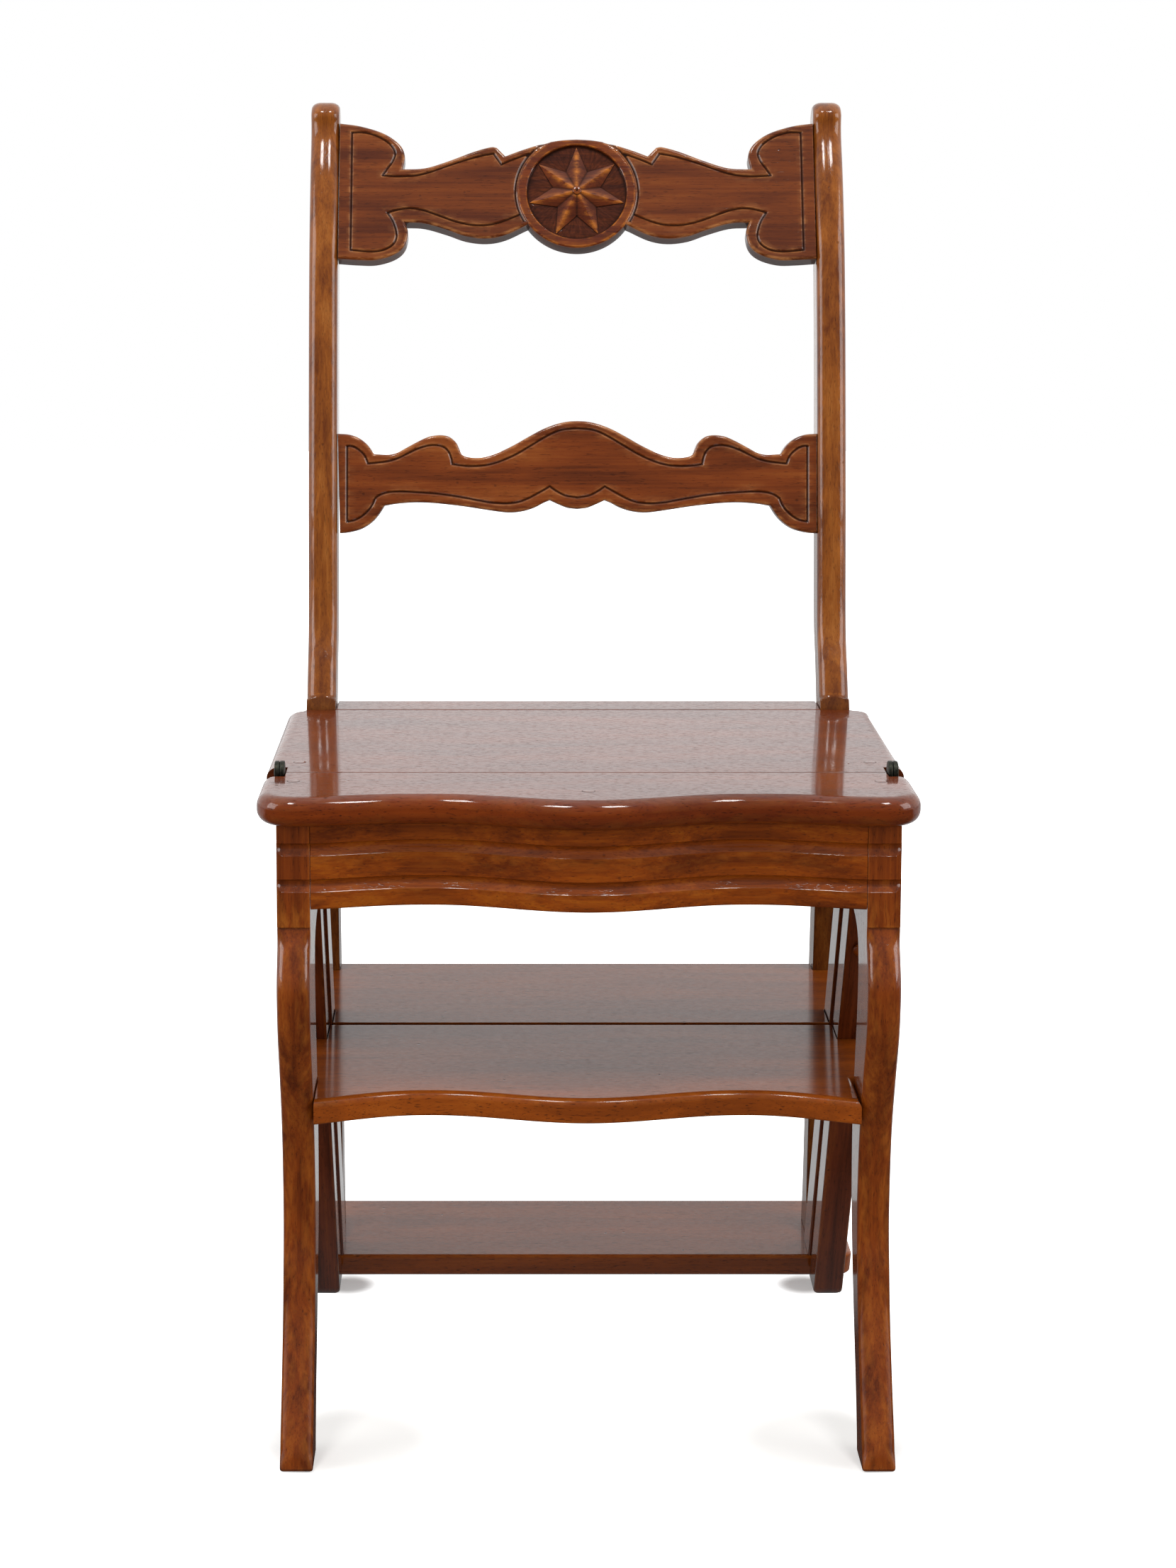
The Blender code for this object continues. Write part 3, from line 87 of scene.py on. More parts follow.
def smoothRun(points, perSpan=6):
    # Catmull-Rom through the points: each span is a cubic whose end slopes are half the step between
    # the neighbours, worked out for all spans and steps at once.
    p = np.asarray(points, float)
    ext = np.vstack([2 * p[0] - p[1], p, 2 * p[-1] - p[-2]])
    a, b, c, d = ext[:-3, None], ext[1:-2, None], ext[2:-1, None], ext[3:, None]
    t = (np.arange(perSpan) / perSpan)[None, :, None]
    run = 0.5 * (2 * b + (c - a) * t + (2 * a - 5 * b + 4 * c - d) * t**2 + (3 * b - a - 3 * c + d) * t**3)
    return np.vstack([run.reshape(-1, p.shape[1]), p[-1:]])


def smoothRuns(runs):
    return np.vstack([smoothRun(run, 5) for run in runs])


def arcRun(centre, radius, startDeg, endDeg, count=7):
    # centre plus radius times (cos, sin) of evenly spaced angles
    a = np.radians(np.linspace(startDeg, endDeg, count))
    return np.stack([centre[0] + radius * np.cos(a), centre[1] + radius * np.sin(a)], 1)


def flipX(points):
    return np.asarray(points, float)[::-1] * (-1.0, 1.0)


def outlineOf(*runs):
    # Joins (points, edge rounding) runs into one closed outline with a rounding for each edge,
    # and leaves out points that repeat.
    points = np.vstack([np.atleast_2d(np.asarray(r[0], float)) for r in runs])
    rounding = np.concatenate([np.broadcast_to(np.asarray(r[1], float), len(np.atleast_2d(r[0]))) for r in runs])
    keep = np.linalg.norm(np.roll(points, -1, 0) - points, axis=1) > 1e-3
    return points[keep], rounding[keep]


def inwardShift(outline, behind, ahead):
    # The shift that moves each point's two edges in by the given amounts: on a corner the two edge normals
    # are solved for it, and on a smooth run the mean normal is scaled by its own projection.
    step = np.roll(outline, -1, 0) - outline
    step /= np.linalg.norm(step, axis=1, keepdims=True)
    normalAhead = np.stack([-step[:, 1], step[:, 0]], 1)
    normalBehind = np.roll(normalAhead, 1, 0)
    det = normalBehind[:, 0] * normalAhead[:, 1] - normalBehind[:, 1] * normalAhead[:, 0]
    corner = np.abs(det) > 0.25
    safe = np.where(corner, det, 1.0)
    solved = np.stack([
        (behind * normalAhead[:, 1] - ahead * normalBehind[:, 1]) / safe,
        (ahead * normalBehind[:, 0] - behind * normalAhead[:, 0]) / safe,
    ], 1)
    mean = normalAhead + normalBehind
    mean /= np.maximum(np.linalg.norm(mean, axis=1, keepdims=True), 1e-6)
    along = np.maximum(np.sum(mean * normalAhead, 1), 0.5)
    even = mean * (0.5 * (behind + ahead) / along)[:, None]
    return np.where(corner[:, None], solved, even), corner


def slab(outline, rounding, low, high, topShare=1.0, bottomShare=1.0, steps=5, across=2, spread=1.0):
    # A board: the outline carried through its thickness as rings. Towards each face a ring moves in by
    # r(1 - sin a) and stops r(1 - cos a) short of the face, times spread, with a from 0 to 90 degrees.
    # Gives each ring's points and their wear, which is 1 halfway round a rounding and 0 on the flats.
    ahead = rounding
    behind = np.roll(rounding, 1)
    _, corner = inwardShift(outline, behind, ahead)
    own = np.where(corner, np.maximum(behind, ahead), 0.5 * (behind + ahead))
    flatMargin = 0.8         # from the rounding to the first ring on the flat

    def ring(share, extra, height, worn):
        shift, _ = inwardShift(outline, behind * share + extra, ahead * share + extra)
        return np.column_stack([outline + shift, np.broadcast_to(height, len(outline))]), np.full(len(outline), worn)

    def faceRings(face, share, sign):
        yield ring(share, flatMargin, face, 0.0)
        for angle in np.radians(np.linspace(0, 90, steps + 1)):
            fall = sign * share * (1 - math.cos(angle)) * own * spread
            yield ring(share * (1 - math.sin(angle)), 0.0, face - fall, math.sin(2 * angle) * 0.7 + 0.3)

    sideTop = high - topShare * own * spread
    sideLow = low + bottomShare * own * spread
    sides = [ring(0.0, 0.0, sideTop + share * (sideLow - sideTop), 0.0) for share in np.linspace(0.06, 0.94, across)]
    rings = [*faceRings(high, topShare, 1), *sides, *list(faceRings(low, bottomShare, -1))[::-1]]
    return [np.array(part) for part in zip(*rings)]


def tubeFaces(rings, around, turned=False):
    # Quads between neighbouring rings by index arithmetic on the whole grid, then a face over each end.
    r = np.arange(rings - 1)[:, None] * around
    c = np.arange(around)[None, :]
    n = (c + 1) % around
    faces = np.stack([r + c, r + around + c, r + around + n, r + n], -1).reshape(-1, 4).tolist()
    faces += [list(range(around)), list(range(rings * around - 1, (rings - 1) * around - 1, -1))]
    return [face[::-1] for face in faces] if turned else faces


def place(points, origin, u, v, w):
    # Sheet coordinates to the frame: origin plus the three directions times the three numbers.
    return np.asarray(origin, float) + np.asarray(points, float).reshape(-1, 3) @ np.array([u, v, w], float)


flatLying = dict(origin=(0, 0, 0), u=(1, 0, 0), v=(0, 1, 0), w=(0, 0, 1))
sideStanding = dict(origin=(0, 0, 0), u=(0, 1, 0), v=(0, 0, 1), w=(1, 0, 0))


def linkNew(name, data):
    thing = bpy.data.objects.new(name, data)
    bpy.context.scene.collection.objects.link(thing)
    return thing


def makePiece(name, node, points, faces, finish, attributes=None, crease=38):
    # A new mesh that stands for a CAD node, rides on that node's body and carries its finish
    mesh = bpy.data.meshes.new(name)
    mesh.from_pydata(toMetres(points).tolist(), [], faces)
    for key, values in (attributes or {}).items():
        layer = mesh.attributes.new(key, "FLOAT", "POINT")
        layer.data.foreach_set("value", np.asarray(values, np.float32).ravel())
    mesh.materials.append(finish)
    mesh.shade_smooth()
    mesh.set_sharp_from_angle(angle=math.radians(crease))
    mesh.update()
    piece = linkNew(name, mesh)
    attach(piece, bodyOf[node])
    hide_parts(node)
    recordSlots.get(finish.name, "polished_mahogany")


def makeSlab(name, node, outlineRun, low, high, layout, finish, footWear=0.0, wornLine=None, darkening=None, reshape=None,
             **slabSettings):
    rings, wear = slab(*outlineRun, low, high, **slabSettings)
    points = place(rings, **layout)
    if reshape:
        reshape(points)
    # whatever stands on the floor is rubbed pale over its lowest few millimetres
    wear = np.maximum(wear.ravel(), footWear * np.exp(-points[:, 2] / footFade))
    # a pale line of painted highlight, partly rubbed wear, where the piece gives one
    if wornLine:
        wear = np.maximum(wear, wornLine(points))
    attributes = {"wearAndHighlight": wear}
    # dirt, dark joints and painted shade, as the piece gives them
    if darkening:
        attributes["grimeAndShade"] = darkening(points)
    makePiece(name, node, points, tubeFaces(*rings.shape[:2]), finish, attributes)


# Materials

def linear(code):
    # sRGB hex to linear: c/12.92 below 0.04045, else ((c + 0.055)/1.055) to the power 2.4
    c = np.array([int(code[i:i + 2], 16) / 255 for i in (0, 2, 4)])
    c = np.where(c <= 0.04045, c / 12.92, ((c + 0.055) / 1.055) ** 2.4)
    return (*c.tolist(), 1.0)


def addNode(tree, kind, inputs=(), stops=(), **settings):
    # One node with its settings and colour stops. Its inputs are a row in the order of its sockets, or a
    # dictionary by socket. Each is a fixed value or a link, and where a whole node is given, its first
    # output (a Mix node's colour) is linked.
    node = tree.nodes.new("ShaderNode" + kind)
    for key, value in settings.items():
        setattr(node, key, value)
    for k, (position, colour) in enumerate(stops):
        stop = node.color_ramp.elements[k] if k < 2 else node.color_ramp.elements.new(position)
        stop.position, stop.color = position, colour
    for key, value in inputs.items() if isinstance(inputs, dict) else enumerate(inputs):
        if isinstance(value, bpy.types.Node):
            value = value.outputs[2 if value.bl_idname == "ShaderNodeMix" else 0]
        if isinstance(value, bpy.types.NodeSocket):
            tree.links.new(value, node.inputs[key])
        else:
            node.inputs[key].default_value = value
    return node


def newMaterial(name):
    # a material, and addNode bound to its tree
    material = bpy.data.materials.new(name)
    material.use_nodes = True
    material.node_tree.nodes.clear()
    return material, partial(addNode, material.node_tree)


# Mahogany, planed and French polished: a thin glossy shellac film over orange-brown wood with short dark pores.
mahogany = {
    "tones": ("5E2604", "823A06", "9C520C"),
    "toneStops": (0.40, 0.54, 0.70),
    # the paler colour of rubbed edges and of painted highlight lines
    "worn": "A8601E",
    "pore": "200C05",
    # the colour of dirt and old polish, and of painted shade in corners, cuts and recesses
    "grimeAndShade": "1C0B05",
    "figureAcross": 11.0,    # mm across the grain between colour bands
    "figureAlong": 190.0,
    "streakSize": (0.13, 0.7),    # times the bands' sizes
    "cloudSize": (38.0, 75.0),    # mm, the soft dark and light areas
    "layerShares": (0.62, 0.24, 0.18),    # of bands, streaks and clouds in the tone
    "toneShift": -0.02,
    "poreAcross": 0.7,       # drawn wider than the real 0.2 mm, so that they show
    "poreAlong": 7.0,
    "poreLevels": (0.60, 0.70),   # a pore begins and is full at these values of its noise
    "poreShare": 0.5,
    "poreDepth": 0.02,
    "peelSize": (3.2, 5.12),      # mm, the faint ripple of a rubbed film
    "peelDepth": 0.010,
    "wear": 0.35,
    "rubSize": (5.0, 16.0),       # mm, the patches that break up rubbed edges
    "rubLevels": (0.42, 0.66),
    "knocks": 0.4,
    "knockCells": 70.0,      # to a metre
    "knockDepth": 0.2,
    "woodRoughness": 0.6,
    "filmWeight": 1.0,
    "filmBreaks": 0.15,      # how much the film thins over pores and in rubbed specks
    "speckSize": (1.6, 4.5),
    "speckLevels": (0.38, 0.62),
    "filmOverDarkening": -0.85,   # and how much the dirt and painted shade take from it
    "filmRoughness": 0.09,
    "lean": 0.0,             # the grain's lean forward from upright, in radians
}


def polishedMahogany(name, grain, seed, **changes):
    # Gives the eye: a deep orange-brown with long soft bands and dark pore flecks under a clear film, so
    # white lights show as crisp broken highlights on every rounding; rubbed edges and painted highlight lines look
    # paler, and dirt and painted shade darker.
    look = dict(mahogany, **changes)
    material, add = newMaterial(name)
    spot = add("TexCoord").outputs["Object"]

    def noise(across, along, detail, shift=0.0):
        # a noise whose features have the given sizes in mm across and along the grain
        sizes = [across * 0.001] * 3
        sizes["xyz".index(grain)] = along * 0.001
        turned = add("Mapping", {"Vector": spot, "Location": (seed + shift, seed * 1.7, seed * 0.6),
                                 "Rotation": (look["lean"], 0, 0), "Scale": sizes}, vector_type="TEXTURE")
        return add("TexNoise", {"Vector": turned, "Scale": 1.0, "Detail": detail, "Roughness": 0.58,
                                "Distortion": 0.35})

    # bands, fine streaks and clouds, summed to one tone
    bands = np.array((look["figureAcross"], look["figureAlong"]))
    layers = (noise(*bands, 5.0), noise(*bands * look["streakSize"], 3.0, 0.2), noise(*look["cloudSize"], 2.0, 0.4))
    tone = look["toneShift"]
    for layer, share in zip(layers, look["layerShares"]):
        tone = add("Math", (layer, share, tone), operation="MULTIPLY_ADD")
    colour = add("ValToRGB", (tone,), zip(look["toneStops"], map(linear, look["tones"])))

    pores = add("MapRange", (noise(look["poreAcross"], look["poreAlong"], 1.5, 0.6), *look["poreLevels"]))
    poreShade = add("Math", (pores, look["poreShare"]), operation="MULTIPLY")

    # rubbed edges and painted highlight lines, broken up so that no line runs evenly
    edge = add("Attribute", attribute_name="wearAndHighlight").outputs["Fac"]
    rub = add("MapRange", (noise(*look["rubSize"], 5.0, 0.8), *look["rubLevels"]))
    rubbedAndLit = add("Math", (edge, rub), operation="MULTIPLY")
    rubbedAndLit = add("Math", (rubbedAndLit, look["wear"]), operation="MULTIPLY", use_clamp=True)

    # old polish and dirt, and painted shade where shade falls in corners, cuts and recesses
    darkening = add("Attribute", attribute_name="grimeAndShade").outputs["Fac"]

    # knocks and ingrained specks: one cell in three has one, dark in its middle
    cells = add("TexVoronoi", {"Vector": spot, "Scale": look["knockCells"]})
    chosen = add("MapRange", (cells.outputs["Color"], 0.62, 0.64))
    near = add("MapRange", (cells, 0.10, 0.04))
    knock = add("Math", (chosen, near), operation="MULTIPLY")
    knockShade = add("Math", (knock, look["knocks"]), operation="MULTIPLY")
    for share, over in ((poreShade, "pore"), (rubbedAndLit, "worn"), (darkening, "grimeAndShade"), (knockShade, "pore")):
        colour = add("Mix", {0: share, 6: colour, 7: linear(look[over])}, data_type="RGBA")

    # heights in mm: pores and knocks go in, the film ripples
    height = 0.0
    for layer, rise in ((pores, -look["poreDepth"]), (knock, -look["knockDepth"] * look["knocks"]),
                        (noise(*look["peelSize"], 2.0), look["peelDepth"] * 2)):
        height = add("Math", (layer, rise, height), operation="MULTIPLY_ADD")
    bump = add("Bump", {"Height": height, "Strength": 1.0, "Distance": 0.001})

    # the film is thin over pores, in rubbed specks and over dirt and painted shade
    speck = add("MapRange", (noise(*look["speckSize"], 4.0, 1.1), *look["speckLevels"]))
    thin = add("Math", (pores, speck), operation="ADD")
    full, breaks = look["filmWeight"], look["filmBreaks"]
    film = add("Math", (thin, -breaks * full, (1 + 0.5 * breaks) * full), operation="MULTIPLY_ADD", use_clamp=True)
    clean = add("Math", (darkening, look["filmOverDarkening"], 1.0), operation="MULTIPLY_ADD", use_clamp=True)
    film = add("Math", (film, clean), operation="MULTIPLY")
    shader = add("BsdfPrincipled", {
        "Base Color": colour, "Normal": bump, "Coat Normal": bump, "Metallic": 0.0, "IOR": 1.5,
        "Specular IOR Level": 0.05, "Roughness": look["woodRoughness"], "Coat Weight": film,
        "Coat Roughness": look["filmRoughness"], "Coat IOR": 1.5,
    })
    add("OutputMaterial", (shader,))
    return material


def agedIron(name):
    # Wrought iron, filed and oil-blackened: dull greenish black with a rusty bloom and small glints.
    material, add = newMaterial(name)
    spot = add("TexCoord").outputs["Object"]
    bloom = add("TexNoise", {"Vector": spot, "Scale": 650.0, "Detail": 5.0, "Roughness": 0.7})
    filed = add("TexNoise", {"Vector": spot, "Scale": 2200.0, "Detail": 2.0})
    colour = add("ValToRGB", (bloom,), ((0.35, linear("1E201B")), (0.56, linear("34352D")), (0.74, linear("4A3322"))))
    rough = add("MapRange", (bloom, 0.3, 0.7, 0.32, 0.60))
    bump = add("Bump", {"Height": filed, "Strength": 0.6, "Distance": 0.0001})
    shader = add("BsdfPrincipled", {"Base Color": colour, "Roughness": rough, "Normal": bump, "Metallic": 0.8})
    add("OutputMaterial", (shader,))
    return material


shallow = dict(poreDepth=0.008, peelDepth=0.004)     # where the film has filled the pores
carved = dict(shallow, filmRoughness=0.11)
# the rails' pale lines beside the cuts are painted highlight, so their pale colour is lighter and mixes in strongly
rail = dict(carved, worn="B87A46", wear=0.75, figureAcross=16.0)
postWood = polishedMahogany("frenchPolishedMahoganyUpright", "z", 0.11, tones=("5E2C0C", "7E4414", "9A5E26"),
                            filmRoughness=0.10)
legWood = polishedMahogany("frenchPolishedMahoganyLeg", "z", 0.37, tones=("562206", "76340A", "904A12"))
stringerWood = polishedMahogany("frenchPolishedMahoganyStringer", "z", 0.53, tones=("3C1606", "5E2810", "7A3C14"),
                                lean=0.536, poreDepth=0.004, peelDepth=0.002, filmRoughness=0.05)
apronWood = polishedMahogany("frenchPolishedMahoganyApron", "x", 0.71, figureAlong=300.0)
railWood = polishedMahogany("frenchPolishedMahoganyRail", "x", 0.93, tones=("54240A", "72340E", "8A4A1A"), **rail)
crestWood = polishedMahogany("frenchPolishedMahoganyCrest", "x", 0.97, tones=("4C1F09", "68300D", "7E4217"), **rail)
# the star's pale colour mixes in strongly, for worn edges and the painted highlight on its ridges
starWood = polishedMahogany("carvedMahoganyStar", "x", 1.21, tones=("46190A", "62290D", "783810"), worn="B4681F",
                            wear=0.95, figureAcross=6.0, figureAlong=60.0, **carved)
seatWood = polishedMahogany("rubbedMahoganySeat", "x", 1.47, tones=("582006", "6C2B06", "803609"), worn="8A4E1A",
                            wear=0.25, knocks=0.55, poreAlong=5.0, poreShare=0.75, poreDepth=0.006,
                            peelDepth=0.003, filmBreaks=0.55, filmRoughness=0.075, figureAcross=30.0)
treadWood = polishedMahogany("rubbedMahoganyTread", "x", 1.83, tones=("76360A", "8C420C", "A05214"), knocks=0.8,
                             poreShare=0.7, filmWeight=0.66, filmBreaks=0.25, filmRoughness=0.12,
                             figureAcross=24.0, **shallow)
plainWood = polishedMahogany("planedSecondaryWood", "y", 2.05, wear=0.0, knocks=0.1, filmRoughness=0.5)
ironFinish = agedIron("oilBlackenedIron")
# the record's slot of each finish on a new piece, where it isn't polished_mahogany
recordSlots = {seatWood.name: "worn_mahogany", treadWood.name: "worn_mahogany", ironFinish.name: "dark_iron"}
print("materials ready")


# Front legs

frontLeg = {
    "face": -76.5,
    "top": 435.7,
    "hollowTops": (423.7, 399.5),
    "hollowHeight": 8.8,
    "hollowDepth": 3.0,
    "hollowStop": 4.5,       # the hollows die out this far from the leg's outer face,
    "lipRise": 0.45,         # and their lips rise there by this share of their height
    "shoulder": 367.0,
    "front": [(-75, 367), (-77.5, 360.5), (-83.4, 350.5), (-90.65, 332.1), (-91, 316.4), (-85.7, 291.8),
              (-70, 258), (-56.2, 225), (-49.5, 193), (-47, 154), (-52.8, 123), (-60.4, 92.9),
              (-76, 55), (-92.6, 18), (-96.4, 2.5)],
    "toe": (-94.0, 0.0),
    "back": [(-59.7, 0), (-55.8, 18), (-41.7, 55), (-26.4, 92.9), (-15.7, 123), (-8, 154),
             (-5.4, 193), (-7.65, 225), (-14.9, 258), (-23.7, 291.8), (-27.9, 316.4), (-27.9, 335.8),
             (-22.2, 348.7), (-7.65, 356.7), (16.2, 362)],
    "frontRounding": 6.5,
    "roundingGrows": 10.0,   # below the shoulder it grows from a share of that over this height,
    "shoulderShare": 0.15,
    "roundingFades": 14.0,   # and above the floor it does so again
    "toeShare": 0.25,
    "edgeRounding": 0.9,
    "shoulderHighlight": 2.2,        # the painted highlight line where the block ends, its half width and how far back it goes
    "blockLine": 0.5,
    "blockFront": -70.0,
}


def hollowRun(face, top):
    # A scoop cut into the face: it drops in at once under its upper edge, is deepest halfway down and
    # slopes out to a lip that lies flush with the face.
    shares = smoothRun([(0.0, 0.0), (0.05, 0.42), (0.15, 0.78), (0.28, 0.97), (0.40, 1.0), (0.50, 0.94),
                        (0.62, 0.72), (0.80, 0.385), (0.96, 0.09), (1.0, 0.0)], 2)
    return np.stack([face + shares[:, 1] * frontLeg["hollowDepth"], top - shares[:, 0] * frontLeg["hollowHeight"]], 1)


def buildFrontLeg(side, label):
    # A side outline carried across the leg: a block with two hollows, then the sabre's curves. The front's
    # rounding is multiplied by two ramps over height, one down from the shoulder and one up from the floor.
    s = frontLeg
    face, shoulder = s["face"], s["shoulder"]
    block = np.vstack([(face, s["top"]), *[hollowRun(face, t) for t in s["hollowTops"]],
                       (face, shoulder + 0.2), (s["front"][0][0], shoulder - 0.3)])
    knee = smoothRun(s["front"], 6)[1:]
    ease = (np.clip((shoulder - knee[:, 1]) / s["roundingGrows"], s["shoulderShare"], 1.0)
            * np.clip(knee[:, 1] / s["roundingFades"], s["toeShare"], 1.0))
    crown = (frontFaceAt(s["top"]) - 2 * carcase["jointGap"], s["top"])
    outline = outlineOf((block, sawn), (knee, s["frontRounding"] * ease), (s["toe"], 1.2),
                        (smoothRun(s["back"], 5), s["edgeRounding"]), (crown, sawn))

    def stopHollows(points):
        # towards the outer face the scoops grow shallow and their lips rise, as a gouge leaves the wood
        depth = points[:, 1] - face
        fromEdge = carcase["outerSide"] - np.abs(points[:, 0])
        fade = 1 - np.clip(1 - fromEdge / s["hollowStop"], 0, 1) ** 2
        for top in s["hollowTops"]:
            down = (top - points[:, 2]) / s["hollowHeight"]
            inScoop = (down > -0.01) & (down < 1.01) & (depth < s["hollowDepth"] + 1.0)
            points[:, 1] = np.where(inScoop, face + depth * fade, points[:, 1])
            points[:, 2] = np.where(inScoop, top - down * s["hollowHeight"] * (1 - s["lipRise"] * (1 - fade)),
                                    points[:, 2])

    # painted highlight: a pale line along the shoulder's edge
    def blockLine(points):
        away = (points[:, 2] - shoulder) / s["blockLine"]
        return s["shoulderHighlight"] * np.exp(-away ** 2) * (points[:, 1] < s["blockFront"])

    makeSlab("shapedLeg" + label, "front_leg_" + label.lower(), outline, *sideSpan(side), sideStanding, legWood,
             steps=8, across=12, spread=1.5, footWear=1.0, reshape=stopHollows, wornLine=blockLine)


# Apron, a serpentine rail with the same two hollows

apron = {
    "halfLength": 183.2,
    "bottom": 379.0,
    "thickness": 22.0,
    "wave": (102.9, 109.5, 203.0),
    "centreBow": 22.0,
    "endBow": 14.5,
    "bottomRounding": 1.6,
    "lipWear": 0.6,          # half width of the rubbed line on the hollows' lips
    "stations": 161,
}


def serpentine(x, s):
    # A cosine wave from the middle down to the hollow, level over the hollow, and half a slower wave that
    # rises towards its crest at or past the end.
    x = np.abs(x)
    middleEnd, endStart, crestAt = s["wave"]
    inner = s["centreBow"] * (1 + np.cos(np.pi * np.clip(x / middleEnd, 0, 1))) / 2
    outer = s["endBow"] * (1 - np.cos(np.pi * np.clip((x - endStart) / (crestAt - endStart), 0, 1))) / 2
    return inner + outer


def buildApron():
    # The section by the stations along x, each moved in y by the wave. The wave is measured against its value
    # at the ends, so that they lie flush with the legs.
    s = apron
    leg = frontLeg
    x = np.linspace(-s["halfLength"], s["halfLength"], s["stations"])
    face = leg["face"] + serpentine(s["halfLength"], s) - serpentine(x, s)
    r = s["bottomRounding"]
    section = np.vstack([(0.0, leg["top"]), *[hollowRun(0.0, t) for t in leg["hollowTops"]],
                         arcRun((r, s["bottom"] + r), r, 180, 270, 5),
                         (s["thickness"], s["bottom"]), (s["thickness"], leg["top"])])
    points = np.stack(np.broadcast_arrays(x[:, None], face[:, None] + section[:, 0], section[:, 1]), -1)
    lips = np.array(leg["hollowTops"])[:, None] - leg["hollowHeight"]
    lip = np.exp(-((section[:, 1] - lips) / s["lipWear"]) ** 2).max(0)
    makePiece("serpentineApron", "apron", points.reshape(-1, 3), tubeFaces(*points.shape[:2], turned=True), apronWood,
              {"wearAndHighlight": np.broadcast_to(lip, points.shape[:2])})


# Seat boards

seat = {
    "halfWidth": 219.0,
    "recess": 80.0,
    "wave": (102.9, 116.1, 194.9),
    "centreBow": 21.0,
    "endBow": 10.0,
    "frontCorner": 26.0,
    "rearCorner": 14.0,
    "rear": 243.0,
    "noseRounding": 8.6,
    "rearRounding": 5.0,
    "notchInner": 204.2,
    "notchFront": -14.0,
    "notchRear": 17.0,
    "notchSplay": 12.5,
    "notchMargin": 1.5,
    "seamDirt": 0.9,         # between the two boards, and its half width
    "seamWidth": 0.6,
    "stripGap": 0.08,
    "stripDepth": 38.0,
    "stripRounding": (0.15, 0.4, 2.0, 0.4),
}


def buildSeat():
    # Two outlines carried through the boards' thickness: one with the serpentine nose between two corner arcs,
    # and one with the notches that the hinges turn in.
    s = seat
    top = carcase["seatTop"]
    low = top - carcase["seatThickness"]
    gap = carcase["jointGap"]
    w, n, r = s["halfWidth"], s["notchInner"], s["noseRounding"]
    noseX, noseY = w - s["frontCorner"], s["frontCorner"] - (s["recess"] + s["endBow"])
    x = np.linspace(-noseX, noseX, 121)[1:-1]
    nose = np.stack([x, -s["recess"] - serpentine(x, s)], 1)
    left, right = [arcRun((sign * noseX, noseY), s["frontCorner"], start, start + 90, 13)
                   for sign, start in ((-1, 180), (1, 270))]
    y = s["notchFront"]
    front = outlineOf((left, r), (nose, r), (right, r), ([(w, y), (n, y), (n, -gap), (-n, -gap), (-n, y)], sawn),
                      ((-w, y), r))

    def seamDirt(points):
        return s["seamDirt"] * np.exp(-(points[:, 1] / s["seamWidth"]) ** 2)

    makeSlab("frontSeatHalf", "front_seat_board", front, low, top, flatLying, seatWood, steps=8, darkening=seamDirt)

    cx, cy = w - s["rearCorner"], s["rear"] - s["rearCorner"]
    right, left = [arcRun((sign * cx, cy), s["rearCorner"], start, start + 90, 9) for sign, start in ((1, 0), (-1, 90))]
    y = s["notchRear"]
    rear = outlineOf(((-n, gap), 0.6), ([(n, gap), (n, y)], sawn), ((w, y), r), (right[:-1], s["rearRounding"]),
                     (right[-1:], 0.15), (left[:1], s["rearRounding"]), (left[1:], r), ([(-w, y), (-n, y)], sawn))

    def slantNotch(points):
        # the notch's back wall leans back as it goes down, so that the strap clears it
        margin = s["notchMargin"]
        inNotch = (np.abs(points[:, 0]) > n - margin) & (np.abs(points[:, 1] - y) < margin)
        points[:, 1] += np.where(inNotch, s["notchSplay"] * (top - points[:, 2]) / (top - low), 0.0)

    makeSlab("rearSeatHalf", "rear_seat_board", rear, low, top, flatLying, seatWood, steps=8, darkening=seamDirt,
             reshape=slantNotch)
    inner = carcase["innerSide"] - gap
    back = s["rear"] + s["stripGap"]
    end = back + s["stripDepth"]
    strip = outlineOf(([(-inner, back), (inner, back), (inner, end), (-inner, end)], s["stripRounding"]))
    makeSlab("seatStrip", "rear_seat_strip", strip, low, top, flatLying, seatWood)


# Slanted members, treads and posts

stringers = {
    "frontInset": 1.0,       # against the legs' faces
    "rearInset": 2.5,
    # the front ones' toe: height, how far behind the front face, rounding
    "toe": ((7.0, 0.0, 1.6), (2.0, 1.2, 2.4), (0.0, 4.0, 4.5), (0.0, 36.0, 1.2)),
    "rearFoot": 21.3,
}


def buildStringers(side, label):
    # Slanted strips between two lines at the split's slope, carried across their width.
    s = stringers
    half = carcase["frameGap"] / 2
    depth = carcase["stringerDepth"]
    top = carcase["seatTop"] - carcase["seatThickness"] - carcase["jointGap"]
    run = outlineOf(((frontFaceAt(top), top), 1.2), *[((frontFaceAt(z) + y, z), r) for z, y, r in s["toe"]],
                    ((frontFaceAt(top) + depth, top), sawn))
    makeSlab("frontStringer" + label, "front_stringer_" + label.lower(), run, *sideSpan(side, s["frontInset"]),
             sideStanding, stringerWood)
    low = s["rearFoot"]
    upper, lower = splitAt(top) + half, splitAt(low) + half
    run = outlineOf(((upper, top), 1.0), ((lower, low), 0.4), ((lower + depth, low), 1.2), ((upper + depth, top), sawn))
    makeSlab("rearStringer" + label, "rear_stringer_" + label.lower(), run, *sideSpan(side, s["rearInset"]),
             sideStanding, stringerWood)


